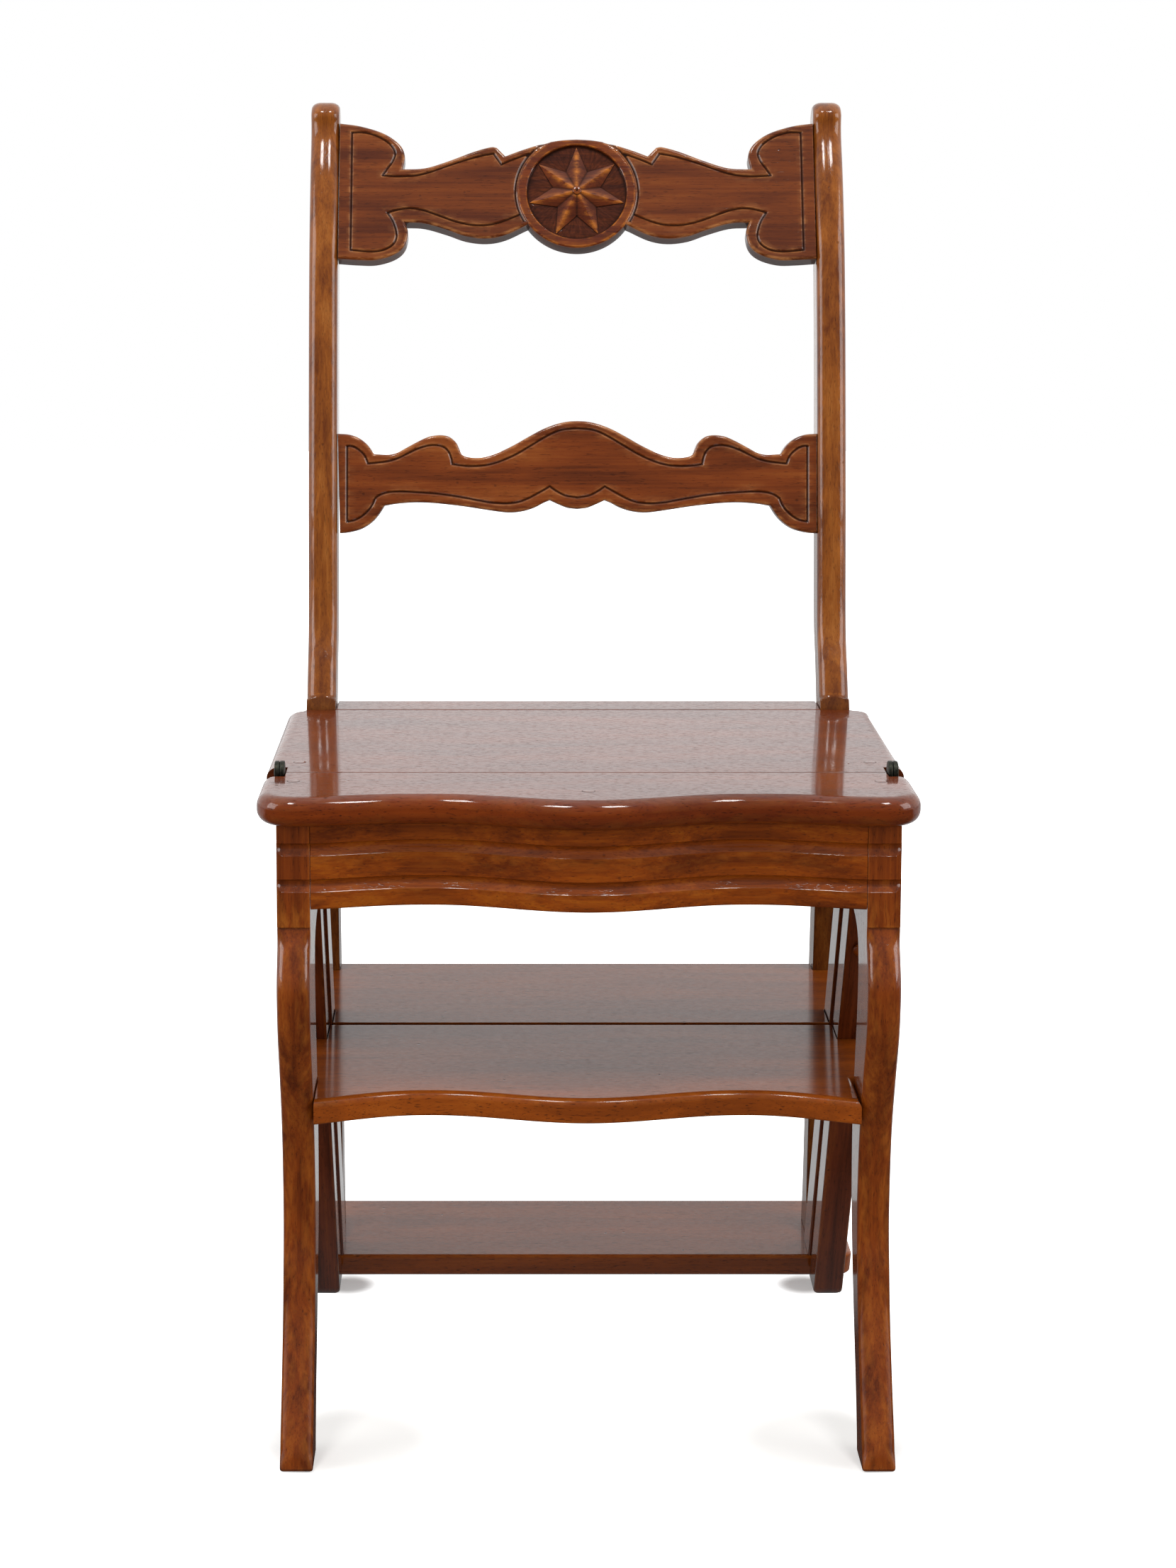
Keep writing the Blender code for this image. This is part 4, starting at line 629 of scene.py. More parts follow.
treads = {
    "top": 245.0,
    "thickness": 16.5,
    "recess": 42.5,
    "wave": (104.0, 109.5, 224.9),
    "centreBow": 18.0,
    "endBow": 29.0,
    "noseRounding": 5.0,
    "edgeRounding": 0.4,
    "tongueHalf": 202.5,
    "behindLeg": -6.0,
    "beforePost": 276.3,
    "rear": 296.0,
    "lowTop": 21.0,
    "lowRear": 392.0,
    "lowHalf": 216.0,
    "lowCorner": 12.0,
    "lowRounding": 3.0,
    # where the edges slant with the stringers: behind and before these places
    "slantBehind": 40.0,
    "slantBefore": 200.0,
    "lowSlant": (280.0, 300.0),
}


def buildTreads():
    # Where the two frames part, the treads' edges slant as the stringers do: y moves back by the slope times
    # the depth under the top, over the share of the board that the function slanted is given.
    s = treads
    inner = carcase["innerSide"] - carcase["jointGap"]
    gap = carcase["jointGap"]
    half = carcase["frameGap"] / 2
    split = splitAt(s["top"])
    low = s["top"] - s["thickness"]
    t = s["tongueHalf"]

    def slanted(top, share):
        def move(points):
            points[:, 1] += share(points[:, 1]) * carcase["splitSlope"] * (top - points[:, 2])
        return move

    x = np.linspace(-inner, inner, 101)
    nose = np.stack([x, -s["recess"] - serpentine(x, s)], 1)
    front = frontFaceAt(s["top"]) - gap
    side = carcase["innerSide"] - stringers["frontInset"] - gap
    right = [(inner, s["behindLeg"]), (t, s["behindLeg"]), (t, front), (side, front), (side, split - half)]
    outline = outlineOf((nose, s["noseRounding"]), (right, s["edgeRounding"]), (flipX(right), s["edgeRounding"]))
    makeSlab("serpentineTread", "front_tread", outline, low, s["top"], flatLying, treadWood, bottomShare=0.35, steps=6,
             reshape=slanted(s["top"], lambda y: y > s["slantBehind"]))

    side = carcase["innerSide"] - stringers["rearInset"] - gap
    back = split + half + carcase["stringerDepth"] + gap
    right = [(side, split + half), (side, back), (t, back), (t, s["beforePost"]), (inner, s["beforePost"]),
             (inner, s["rear"])]
    outline = outlineOf((right, sawn), (flipX(right), sawn))
    makeSlab("rearTreadHalf", "rear_tread", outline, low, s["top"], flatLying, treadWood,
             reshape=slanted(s["top"], lambda y: y < s["slantBefore"]))

    r = s["lowCorner"]
    cx, front, back = s["lowHalf"] - r, splitAt(s["lowTop"]) + half + r, s["lowRear"] - r
    corners = [(arcRun(centre, r, start, start + 90, 9), s["lowRounding"]) for centre, start in (
        ((-cx, front), 180), ((cx, front), 270), ((cx, back), 0), ((-cx, back), 90))]
    makeSlab("bottomTreadBoard", "bottom_tread", outlineOf(*corners), 0.0, s["lowTop"], flatLying, treadWood,
             reshape=slanted(s["lowTop"], lambda y: np.interp(y, s["lowSlant"], (1, 0))))


backPost = {
    "upperFront": [(243.3, 456), (256.7, 488), (269.6, 516.3), (277.5, 581.2), (280.8, 613.6), (294.3, 710.4),
                   (302.7, 758.4), (314.4, 807.7), (332.3, 856.6), (348.6, 888.6), (349.2, 904)],
    "upperBack": [(278.3, 456), (291.7, 488), (304.6, 516.3), (312.5, 581.2), (315.8, 613.6), (327.9, 710.4),
                  (335.9, 758.4), (347.6, 807.7), (366.2, 856.6), (378.3, 888.5)],
    "lowerFront": [(243.3, 436), (249.4, 398.9), (261.3, 331.4), (274.3, 261.6), (290.1, 161.3), (305.2, 61),
                   (301, 47), (289.1, 36)],
    "lowerBack": [(348.2, 21.3), (338.1, 61), (323, 161.3), (307.2, 261.6), (294.2, 331.4), (282.3, 398.9),
                  (278.3, 436.0)],
    "foot": (297.8, 21.3),
    "tipCentre": (363.75, 896.3),
    "tipRadius": 16.5,
    "tipLean": 28.0,
    "rounding": 7.0,
    "roundingSpread": 1.45,  # the front is rounded this much wider than deep
    "lowerRounding": (1.0, 1.2),   # front and back
    "backRounding": 1.6,
    "tipRounding": 1.5,
    "stopRows": (478.0, 460.0),    # rows 1 mm apart where the rounding stops
    "blockTop": 463.9,
    "archRise": 2.8,
    "archHighlightAndWear": 2.2,         # the painted highlight line on the arch, partly rubbed wear, its half width and how far back it goes
    "archLine": 0.6,
    "archBack": 252.0,
    "blockDarkening": 0.4,
}


def buildPost(side, label):
    # A side outline carried across the post: smooth runs, with a half circle for the tip.
    s = backPost
    r = s["rounding"]
    tip = arcRun(s["tipCentre"], s["tipRadius"], -s["tipLean"], 180 - s["tipLean"], 15)
    front = smoothRun(s["upperFront"][:-1] + [tuple(tip[-1])], 6)[::-1]
    back = smoothRun(s["upperBack"][:-1] + [tuple(tip[0])], 6)
    first, last = s["stopRows"]
    rows = np.arange(first, last, -1.0)
    stop = np.stack([np.interp(rows, front[::-1, 1], front[::-1, 0]), rows], 1)
    front = np.vstack([front[front[:, 1] > first + 1.0], stop, front[front[:, 1] < last]])
    # the rounding stops in a quarter circle, so that the square block under it ends in an arch
    rise = np.clip((front[:, 1] - s["blockTop"]) / s["archRise"], 0.0, 1.0)
    frontRound = r * np.maximum(np.sqrt(rise * (2.0 - rise)), 0.08)
    lowerFront, lowerBack = s["lowerRounding"]
    outline = outlineOf((front[1:], frontRound[1:]), (smoothRun(s["lowerFront"], 6), lowerFront), (s["foot"], sawn),
                        (smoothRun(s["lowerBack"], 6), lowerBack), (back[:-1], s["backRounding"]),
                        (tip, np.linspace(s["tipRounding"], r, len(tip))))
    low, high = sideSpan(side)

    # painted highlight, partly rubbed wear: a pale line along the arch
    def archLine(points):
        share = np.abs(points[:, 0] - 0.5 * (low + high)) / (0.5 * (high - low))
        edge = s["blockTop"] + s["archRise"] * np.sqrt(np.clip(1 - share**2, 0, 1))
        return s["archHighlightAndWear"] * np.exp(-((points[:, 2] - edge) / s["archLine"]) ** 2) * (points[:, 1] < s["archBack"])

    # the block below the arch is painted darker, fading out over 2 mm above its top
    makeSlab("sweptPost" + label, "back_post_" + label.lower(), outline, low, high, sideStanding, postWood, steps=8,
             across=4, spread=s["roundingSpread"], wornLine=archLine,
             darkening=lambda p: s["blockDarkening"] * np.clip((s["blockTop"] + 2.0 - p[:, 2]) / 2.0, 0, 1))


# Carved back rails

def railLayout(s):
    # an upright sheet that leans back by its tilt: v is up along it, and w straight out of its front
    t = math.radians(s["tilt"])
    return dict(origin=(0, s["y"], s["z"]), u=(1, 0, 0), v=(0, math.sin(t), math.cos(t)),
                w=(0, -math.cos(t), math.sin(t)))


def distanceTo(points, line):
    # Least distance from each point to any segment of an open line, all pairs at once.
    a, b = line[:-1], line[1:]
    d = b - a
    rel = points[:, None, :] - a[None]
    t = np.clip(np.sum(rel * d, -1) / np.maximum(np.sum(d * d, -1), 1e-9), 0, 1)
    return np.min(np.linalg.norm(rel - t[..., None] * d, axis=-1), axis=1)


def distanceToAll(points, lines):
    return np.min([distanceTo(points, line) for line in lines], axis=0)


def inside(points, polygon):
    # Even-odd rule: counts how many polygon edges a ray to the right of each point crosses.
    a, b = polygon, np.roll(polygon, -1, 0)
    x, y = points[:, :1], points[:, 1:]
    spans = (a[None, :, 1] > y) != (b[None, :, 1] > y)
    rise = np.where(b[:, 1] == a[:, 1], 1e-9, b[:, 1] - a[:, 1])
    cross = a[None, :, 0] + (y - a[None, :, 1]) * (b[:, 0] - a[:, 0])[None] / rise[None]
    return np.sum(spans & (x < cross), 1) % 2 == 1


carving = {
    "width": 2.8,            # of the incised V
    "depth": 1.0,
    "spacing": 1.1,          # of the net's points along the V
    "shoulder": 0.5,         # from the V's edge to the next row of points
    "plainSpacing": 4.5,
    "plainMargin": 1.8,      # between the V's edge and the plain net
    "rimMargin": 0.45,
    "wearAndHighlight": 0.8,         # the painted highlight beside the V, and its half width
    "edgeLine": 0.45,
    "cutShadeAndDirt": 0.8,          # how far up the V's flanks the painted shade and dirt reach
    # painted shade and dirt on the rails' sides and back
    "sideShadeAndDirt": 0.45,
    "faceBand": 2.5,         # the cuts work on what lies this near to the face
    "onLine": 0.05,          # how exactly a net point lies on a line or beside it, and the cell it has alone
    "besideLine": 0.08,
    "cell": 0.5,
    "crease": 28,
}


def cutPoints(cuts):
    # Points along each incised line, along both its edges and just outside them, and rings of points round its
    # ends. What comes too near to another line is left out, so that corners close.
    reach = carving["width"] / 2
    levels = (reach, reach + carving["shoulder"])
    found = []
    for line in cuts:
        along = np.concatenate([[0], np.cumsum(np.linalg.norm(np.diff(line, axis=0), axis=1))])
        s = np.linspace(0, along[-1], max(3, int(along[-1] / carving["spacing"])))
        p = np.stack([np.interp(s, along, line[:, 0]), np.interp(s, along, line[:, 1])], 1)
        d = np.gradient(p, axis=0)
        d /= np.linalg.norm(d, axis=1, keepdims=True)
        sideways = np.stack([-d[:, 1], d[:, 0]], 1)
        found.append(p)
        found += [p + sign * away * sideways for away in levels for sign in (-1, 1)]
        found += [arcRun(end, away, 0, 345, 24) for away in levels for end in (line[0], line[-1])]
    points = np.vstack(found)
    d = distanceToAll(points, cuts)
    besideLine = np.min([np.abs(d - level) for level in levels], axis=0) < carving["besideLine"]
    points = points[(d < carving["onLine"]) | besideLine]
    _, first = np.unique(np.round(points / carving["cell"]), axis=0, return_index=True)
    return points[np.sort(first)]


def makeCarvedRail(name, node, outlineRun, cuts, s, finish):
    # The edge rings come from slab. The front face inside the last ring is a net of triangles, close along the
    # incised lines, which sinks in a V: depth times (1 - distance over half the width).
    half = s["thickness"] / 2
    rings, wear = slab(*outlineRun, -half, half, bottomShare=0.5)
    count, around = rings.shape[:2]
    rim = rings[0][:, :2]
    reach, spacing = carving["width"] / 2, carving["plainSpacing"]
    low, high = rim.min(0), rim.max(0)
    grid = np.stack(np.meshgrid(np.arange(low[0], high[0], spacing), np.arange(low[1], high[1], spacing)), -1)
    grid = grid.reshape(-1, 2)
    grid = np.vstack([cutPoints(cuts), grid[distanceToAll(grid, cuts) > reach + carving["plainMargin"]]])
    grid = grid[inside(grid, rim)]
    grid = grid[distanceTo(grid, np.vstack([rim, rim[:1]])) > carving["rimMargin"]]
    net = delaunay_2d_cdt([Vector(p) for p in np.vstack([rim, grid]).tolist()], [], [list(range(around))], 1, 1e-5)
    netPoints = np.array([tuple(p) for p in net[0]])
    # the net's rim points are the slab's own first ring, so it is stitched by index in that ring's place
    first = count * around
    index = np.array([ids[0] if ids and ids[0] < around else first + k for k, ids in enumerate(net[3])])
    faces = tubeFaces(count, around)
    del faces[-2]
    faces += index[np.array([list(f) for f in net[2]])].tolist()
    points = np.vstack([rings.reshape(-1, 3), np.column_stack([netPoints, np.full(len(netPoints), half)])])
    away = distanceToAll(points[:, :2], cuts)
    front = points[:, 2] > half - carving["faceBand"]
    points[:, 2] -= np.where(front, carving["depth"] * np.clip(1 - away / reach, 0, 1), 0)
    # painted highlight: a pale line just outside each edge of the V
    beside = carving["wearAndHighlight"] * np.exp(-((away - reach) / carving["edgeLine"]) ** 2)
    wear = np.maximum(np.concatenate([wear.ravel(), np.zeros(len(netPoints))]), np.where(front, beside, 0))
    # painted shade and dirt: darkest in the V's bottom and fading up its flanks, with a fixed share on the sides and
    # back
    grimeAndShade = np.where(front, np.clip(1 - away / (carving["cutShadeAndDirt"] * reach), 0, 1), carving["sideShadeAndDirt"])
    used = np.zeros(len(points), bool)
    used[np.concatenate(faces)] = True
    renumber = np.cumsum(used) - 1
    makePiece(name, node, place(points[used], **railLayout(s)), [renumber[f].tolist() for f in faces], finish,
              {"wearAndHighlight": wear[used], "grimeAndShade": grimeAndShade[used]}, carving["crease"])


crest = {
    "y": 340.2,
    "z": 844.8,
    "tilt": 22.0,
    "thickness": 15.0,
    "bottom": [
        [(37.6, -29.9), (55, -38.5), (69.6, -41.3), (85.2, -39.5), (99.8, -34.2), (117.2, -29), (132.1, -28.1)],
        [(132.1, -28.1), (129.7, -36.5), (132.3, -47.3), (140.1, -54.4), (153.9, -58.7), (168.5, -58.7),
         (183.2, -57.6)],
    ],
    "top": [
        [(183.2, 53.6), (166.7, 51.1), (148.9, 45.1), (136.9, 36.2), (132.6, 26.8), (134.2, 15.6)],
        [(134.2, 15.6), (117.2, 16.5), (99.8, 22), (79.7, 30), (66.5, 33.9), (61.6, 33.4)],
        [(61.6, 33.4), (55, 26.4)],
        [(55, 26.4), (43.1, 31.1), (31.3, 35.1), (20.6, 37.9)],
    ],
    "brow": [(20.6, 37.9), (11, 39.4), (0, 40)],
    "cuts": [
        [(173.6, 45.5), (173.6, -51)],
        [(173.6, 45.5), (164.6, 45.5), (155.6, 43), (148.1, 39), (142.6, 34), (140.1, 28), (142.1, 21.5),
         (146.1, 15.5), (149.6, 10)],
        [(149.6, 10), (137.1, 9.2), (124.1, 10), (116.1, 11.8), (108.1, 14.5), (99.6, 17.8), (89.1, 21.5),
         (75.1, 25.8), (64.1, 28)],
        [(64.1, 28), (58.1, 19)],
        [(58.1, 19), (50.6, 22.5), (37.1, 27.8)],
        [(145.6, -20.5), (139.1, -18.5), (132.1, -17.2), (125.1, -17.2), (117.6, -18.7), (110.6, -21.2),
         (102.1, -24.5), (94.1, -27.5), (84.6, -30), (75.1, -31), (64.6, -30), (55.1, -27), (44.6, -22.5)],
        [(145.6, -20.5), (141.6, -27), (139.1, -34), (138.4, -40), (140.4, -45.5), (144.6, -49.2),
         (150.6, -51.6), (159.1, -52.2), (173.6, -51)],
    ],
    "rounding": 2.2,
}


roundel = {
    "drop": 3.4,             # its middle lies this far under the rail's
    "radius": 46.0,
    "hiddenRadius": 42.5,    # the wings end under its ring
    "grooveRadius": 47.3,
    "grooveSpan": (-37.0, 66.0),
    "ringInner": 38.3,
    "ringHeight": 0.4,       # above the rail's face
    "ground": -3.0,          # against the rail's face
    "strokeDepth": 0.14,
    "strokeSeed": 7,
    "strokeRows": (0.12, 0.25, 0.4, 0.55, 0.7, 0.85),
    # painted shade and dirt on the sunk ground's strokes, at random in this range
    "strokeShadeAndDirt": (0.35, 0.75),
    "starRadius": 37.2,
    "valleyShare": 0.5,
    "points": 7,
    "rings": 19,
    "perArm": 16,            # places round half an arm
    "starHeight": 5.2,       # of the middle above the star's edge
    "starEdge": 0.8,         # of the star's edge above the ground
    "ridgeHighlightAndWear": 2.2,        # half width of the painted highlight line on a ridge, partly rubbed wear
    "valleyShade": 0.8,       # and of the painted shade line in a valley
    "sideShadeAndDirt": 0.45,
    "bossRadius": 3.6,
    "bossProud": 0.3,        # of the star's middle
    "crease": 24,
}


def buildCrest():
    # Smooth runs above and below, closed by an arc that lies hidden under the roundel.
    s = crest
    bottom, top = smoothRuns(s["bottom"]), smoothRuns(s["top"])
    middle = np.array((0.0, -roundel["drop"]))
    start, end = (math.degrees(math.atan2(*(p - middle)[::-1])) for p in (top[-1], bottom[0]))
    r = s["rounding"]
    points, rounding = outlineOf((bottom[:-1], r), (bottom[-1:], joint), (top[:-1], r), (top[-1:], joint),
                                 (arcRun(middle, roundel["hiddenRadius"], start, end, 9), joint))
    cuts = [smoothRun(c, 6) for c in s["cuts"]] + [arcRun(middle, roundel["grooveRadius"], *roundel["grooveSpan"], 60)]
    makeCarvedRail("carvedCrestLeft", "crest_rail", (flipX(points), np.roll(rounding[::-1], -1)),
                   [line * (-1, 1.0) for line in cuts], s, crestWood)
    makeCarvedRail("carvedCrestRight", "crest_rail", (points, rounding), cuts, s, crestWood)


def buildRoundel():
    # A polar surface: inside the star its height falls straight from the middle to the edge, which makes flat
    # facets with ridges to the tips. Outside it the ground lies lower, with gouge strokes, and the ring is a flat
    # band with eased edges, cut off above by the rail's brow. The rim and back close it.
    s = roundel
    face = crest["thickness"] / 2
    perArm = s["perArm"]
    n = 2 * s["points"] * perArm
    angle = math.pi / 2 + 2 * math.pi * np.arange(n) / n
    toValley = 1 - np.abs((np.arange(n) % (2 * perArm)) / perArm - 1)    # 0 at a tip, 1 at a valley
    half = math.pi / s["points"]
    offset = toValley * half
    tip, valley = s["starRadius"], s["starRadius"] * s["valleyShare"]
    # the straight edge from tip to valley in polar form
    edge = tip * valley * math.sin(half) / (valley * np.sin(half - offset) + tip * np.sin(offset))
    brow = smoothRun(crest["brow"], 6) + (0.0, s["drop"])
    aside = np.abs((angle - math.pi / 2 + math.pi) % (2 * math.pi) - math.pi)
    outer = np.interp(math.pi / 2 - aside, np.arctan2(brow[:, 1], brow[:, 0]), np.hypot(brow[:, 0], brow[:, 1]),
                      left=s["radius"])
    outer = np.minimum(outer, s["radius"])
    rows = []

    def row(radius, height, worn, darkening):
        rows.append(np.stack(np.broadcast_arrays(radius, height, worn, darkening, np.zeros(n))[:4], 1))

    ground = face + s["ground"]
    for share in np.linspace(0.02, 1.0, s["rings"]):
        ridgeAway = share * edge * np.sin(offset)
        valleyAway = share * edge * np.sin(half - offset)
        # painted highlight and wear along the ridges; painted shade in the valleys, growing away from the ridges
        row(share * edge, ground + s["starEdge"] + s["starHeight"] * (1 - share),
            np.exp(-(ridgeAway / s["ridgeHighlightAndWear"]) ** 2),
            0.4 * np.exp(-(valleyAway / s["valleyShade"]) ** 2) + 0.35 * np.clip(ridgeAway / 6.0, 0, 1))
    # painted shade in the corner at the star's foot
    row(edge + 0.2, ground, 0.0, 0.85)
    strokes = np.random.default_rng(s["strokeSeed"])
    ring = s["ringInner"]
    room = np.maximum(ring - 0.6 - edge, 0.5)
    for share in s["strokeRows"]:
        row(edge + 0.25 + share * room, ground + strokes.uniform(-s["strokeDepth"], s["strokeDepth"], n) * (room > 3),
            0.0, strokes.uniform(*s["strokeShadeAndDirt"], n))
    top, darkening = face + s["ringHeight"], s["sideShadeAndDirt"]
    # the ring's inner wall, painted dark as shade, its flat and eased edges, then the rim and the back, with painted
    # shade and dirt
    for radius, height, worn, dark in (
            (ring - 0.3, ground, 0.0, 0.9), (ring, ground + 0.3, 0.0, 0.8), (ring + 0.2, top - 0.7, 0.3, 0.0),
            (ring + 0.8, top - 0.1, 0.9, 0.0), (ring + 1.6, top, 0.2, 0.0), (outer - 2.6, top, 0.15, 0.0),
            (outer - 1.2, top - 0.15, 0.9, 0.0), (outer - 0.3, top - 0.9, 0.6, 0.0), (outer, face - 1.6, 0.1, darkening),
            (outer, 1.0 - face, 0.0, darkening), (outer - 1.0, -face - 0.1, 0.5, darkening),
            (outer - 3.0, -face - 0.2, 0.0, darkening)):
        row(radius, height, worn, dark)
    radius, height, worn, dark = np.moveaxis(np.array(rows), -1, 0)
    points = np.stack([radius * np.cos(angle), radius * np.sin(angle), height], -1)
    layout = railLayout(crest)
    layout["origin"] = np.array(layout["origin"]) - s["drop"] * np.array(layout["v"])
    makePiece("starRoundel", "crest_rail", place(points, **layout), tubeFaces(*height.shape), starWood,
              {"wearAndHighlight": worn, "grimeAndShade": dark}, s["crease"])
    r = s["bossRadius"]
    points, faces = turnedPoints([(0.0, 0.9), (0.5, 0.75), (0.7, 0.2), (1.0, 0.55), (r - 1.0, 0.5), (r - 0.3, 0.1),
                                  (r, -0.6), (r - 0.2, -1.6)], 28)
    points[:, 2] += ground + s["starEdge"] + s["starHeight"] + s["bossProud"]
    # painted shade in the boss's middle hole and round its foot
    makePiece("starBoss", "crest_rail", place(points, **layout), faces, starWood,
              {"wearAndHighlight": np.full(len(points), 0.3), "grimeAndShade": np.repeat([0.9, 0.9, 0.9, 0.1, 0.0, 0.1, 0.9, 0.9], 28)})


midRail = {
    "y": 295.55,
    "z": 626.15,
    "tilt": 7.5,
    "thickness": 15.0,
    "top": [
        [(183.2, 34.2), (174.5, 33.5), (167, 30.8), (160.5, 25.7), (155.5, 18.6)],
        [(155.5, 18.6), (144, 18.2), (137, 20), (130.5, 23.5), (121, 28.6), (113, 32), (104.8, 33.1),
         (98, 31.8), (92.6, 27.3), (90, 21.9), (88.3, 18.2)],
        [(88.3, 18.2), (84.5, 16.5), (76.5, 15.7), (68.4, 16.9), (59, 20.3), (48, 25.7), (37, 32),
         (26, 37.8), (15.5, 41.7), (7, 43.5), (0, 43.9)],
    ],
    "bottom": [
        [(0, -23.4), (7.5, -22.5), (14.5, -19.8), (21, -16.8)],
        [(21, -16.8), (26, -18.9), (32.5, -22.3), (40.5, -24.9), (49, -26.1), (57.3, -25.8), (70.7, -23.9),
         (84.2, -21.8), (97.7, -20.1), (111.2, -18.8), (124.6, -18.4), (138.1, -19.4), (147.5, -21)],
        [(147.5, -21), (152, -28), (157.5, -33.9), (165.1, -38.7), (174.5, -41.3), (183.2, -42.2)],
    ],
    "cuts": [
        [(176, 24.7), (176, -33.3)],
        [(176, 24.7), (172, 24.4), (167, 21.7), (162.5, 17.2), (160, 11.2)],
        [(160, 11.2), (151.5, 12), (145, 12.9), (138, 14.9), (130, 18.7), (122, 22.5), (115, 24.7),
         (108.5, 25.2), (102.5, 24), (98.5, 20.4), (96.5, 15.7), (95.5, 10.7)],
        [(95.5, 10.7), (89.5, 9.8), (81.5, 9.2), (73.5, 9.5), (66.5, 10.6), (57.5, 13.4), (46.5, 18.4), (35.5, 24.9),
         (25, 31.2), (17, 35.2), (10, 37.3), (0, 38.1)],
        [(176, -33.3), (170, -32), (164.5, -29), (159.5, -24.3), (156.5, -20), (154.5, -15.3)],
        [(154.5, -15.3), (150.5, -12.6), (145, -10.9), (138, -10.3), (130, -10.4), (116.5, -11.2),
         (103, -12.4), (89.5, -14.4), (76, -16.9), (65.5, -18.7), (54.5, -19.3), (45, -18.2), (37, -15.2),
         (29, -10.9), (21, -6.3)],
        [(21, -6.3), (16, -9.8), (9, -13.3), (0, -14.8)],
    ],
    "rounding": 2.2,
}


def buildMidRail():
    # Half the outline in smooth runs, and its mirror image.
    s = midRail
    bottom, top = smoothRuns(s["bottom"]), smoothRuns(s["top"])
    r = s["rounding"]
    run = outlineOf((flipX(bottom)[1:], r), (bottom[:-1], r), (bottom[-1:], joint), (top, r), (flipX(top)[1:-1], r),
                    (flipX(top)[-1:], joint))
    cuts = [smoothRun(c, 6) * (sign, 1.0) for c in s["cuts"] for sign in (-1, 1)]
    makeCarvedRail("carvedMidRail", "mid_rail", run, cuts, s, railWood)


# Turned buttons

def turnedPoints(profile, around):
    # (radius, height) pairs carried round an axis; the first and last ring shrink to closed ends.
    p = np.asarray(profile, float)
    p[0, 0] = max(p[0, 0], 0.05)
    a = 2 * math.pi * np.arange(around) / around
    points = np.stack([p[:, :1] * np.cos(a), p[:, :1] * np.sin(a), np.broadcast_to(p[:, 1:], (len(p), around))], -1)
    return points.reshape(-1, 3), tubeFaces(len(p), around)


def onAxis(points, spot, u, w):
    # places turned or flat work with its own upward direction along w and its first one along u
    w = np.array(w) / np.linalg.norm(w)
    return place(points, spot, u, np.cross(w, u), w)


buttons = {
    "stringer": {"z": 323.0, "radius": 6.2, "height": 4.8, "facing": (0, -1, -carcase["splitSlope"])},
    "post": {"z": 76.0, "radius": 8.0, "height": 8.5, "facing": (0, -1, -0.15)},
    "around": 40,
}


def buildButtons(side, label):
    # A quarter ellipse, radius times sin a by height times cos a, and a narrow neck, carried round an axis.
    middle = 0.5 * sum(sideSpan(side))
    lower = smoothRun(backPost["lowerFront"], 6)
    onPost = float(np.interp(-buttons["post"]["z"], -lower[:, 1], lower[:, 0]))
    for key, x, y in (("stringer", middle - side * stringers["frontInset"], frontFaceAt(buttons["stringer"]["z"])),
                      ("post", middle, onPost)):
        s = buttons[key]
        r, h = s["radius"], s["height"]
        a = np.radians(np.linspace(0, 90, 9))
        dome = np.stack([r * np.sin(a), 1.6 + (h - 1.1) * np.cos(a)], 1)
        profile = np.vstack([dome, [(r * 0.98, 0.9), (r * 0.86, 0.5), (r * 0.5, 0.4)]])
        points, faces = turnedPoints(profile, buttons["around"])
        makePiece(key + "Button" + label, key + "_button_" + label.lower(),
                  onAxis(points, (x, y, s["z"]), (1.0, 0.0, 0.0), s["facing"]), faces, legWood,
                  {"wearAndHighlight": np.full(len(points), 0.2)})


plugs = {
    "radius": 4.5,
    "proud": 0.05,
    "around": 48,
    "front": {"left": (-197.0, -30.0), "centre": (0.0, -63.0), "right": (197.0, -30.0)},
    "rear": {"left": (-197.0, 36.0), "right": (197.0, 36.0)},
}


def buildPlugs():
    # Wooden discs over the screws, flush with the seat, each in a thin dark ring, with painted shade making it darkest
    # in front
    s = plugs
    r, proud = s["radius"], s["proud"]
    profile = [(0.0, proud), (r - 0.7, proud), (r - 0.45, proud * 0.4), (r, proud * 0.5), (r + 0.15, -0.4),
               (r - 0.5, -2.0)]
    points, faces = turnedPoints(profile, s["around"])
    # painted shade: the ring is darkest on its front side
    toFront = 0.5 - 0.5 * np.sin(2 * math.pi * np.arange(s["around"]) / s["around"])
    darkening = np.array([0.0, 0.0, 1.0, 1.0, 0.3, 0.3])[:, None] * np.clip(0.15 + 1.1 * toFront, 0, 1)
    for half in ("front", "rear"):
        for label, (x, y) in s[half].items():
            makePiece(half + "Plug" + label.title(), half + "_seat_plug_" + label,
                      points + (x, y, carcase["seatTop"]), faces, seatWood, {"grimeAndShade": darkening})


# Hinges

hinges = {
    "height": 456.4,
    "inner": 204.8,          # where the inmost eye begins
    "eyeRadius": 7.5,
    "eyeThick": 3.2,
    "eyeGap": 0.3,
    "strapThick": 2.6,
    "strapHalfWidth": 6.0,
    "drop": 66.0,
    "crank": (31.0, 36.0),   # the rear strap steps in towards the wood between these places along it
    "tail": 203.3,
    "pinRadius": 2.5,
    "pinHead": (3.6, 0.7),
    "screwHead": (3.2, 1.3),
    "screwShank": (1.5, 5.0),
    "slotDeep": 0.7,
    "screwShares": (0.70, 0.95),
}


def strapWay(offset):
    # from the hinge line to the middle of a slanted member, drop lower: direction in (y, z) and length
    s = hinges
    run = np.array((splitAt(s["height"] - s["drop"]) + offset, -s["drop"]))
    length = float(np.linalg.norm(run))
    return run / length, length


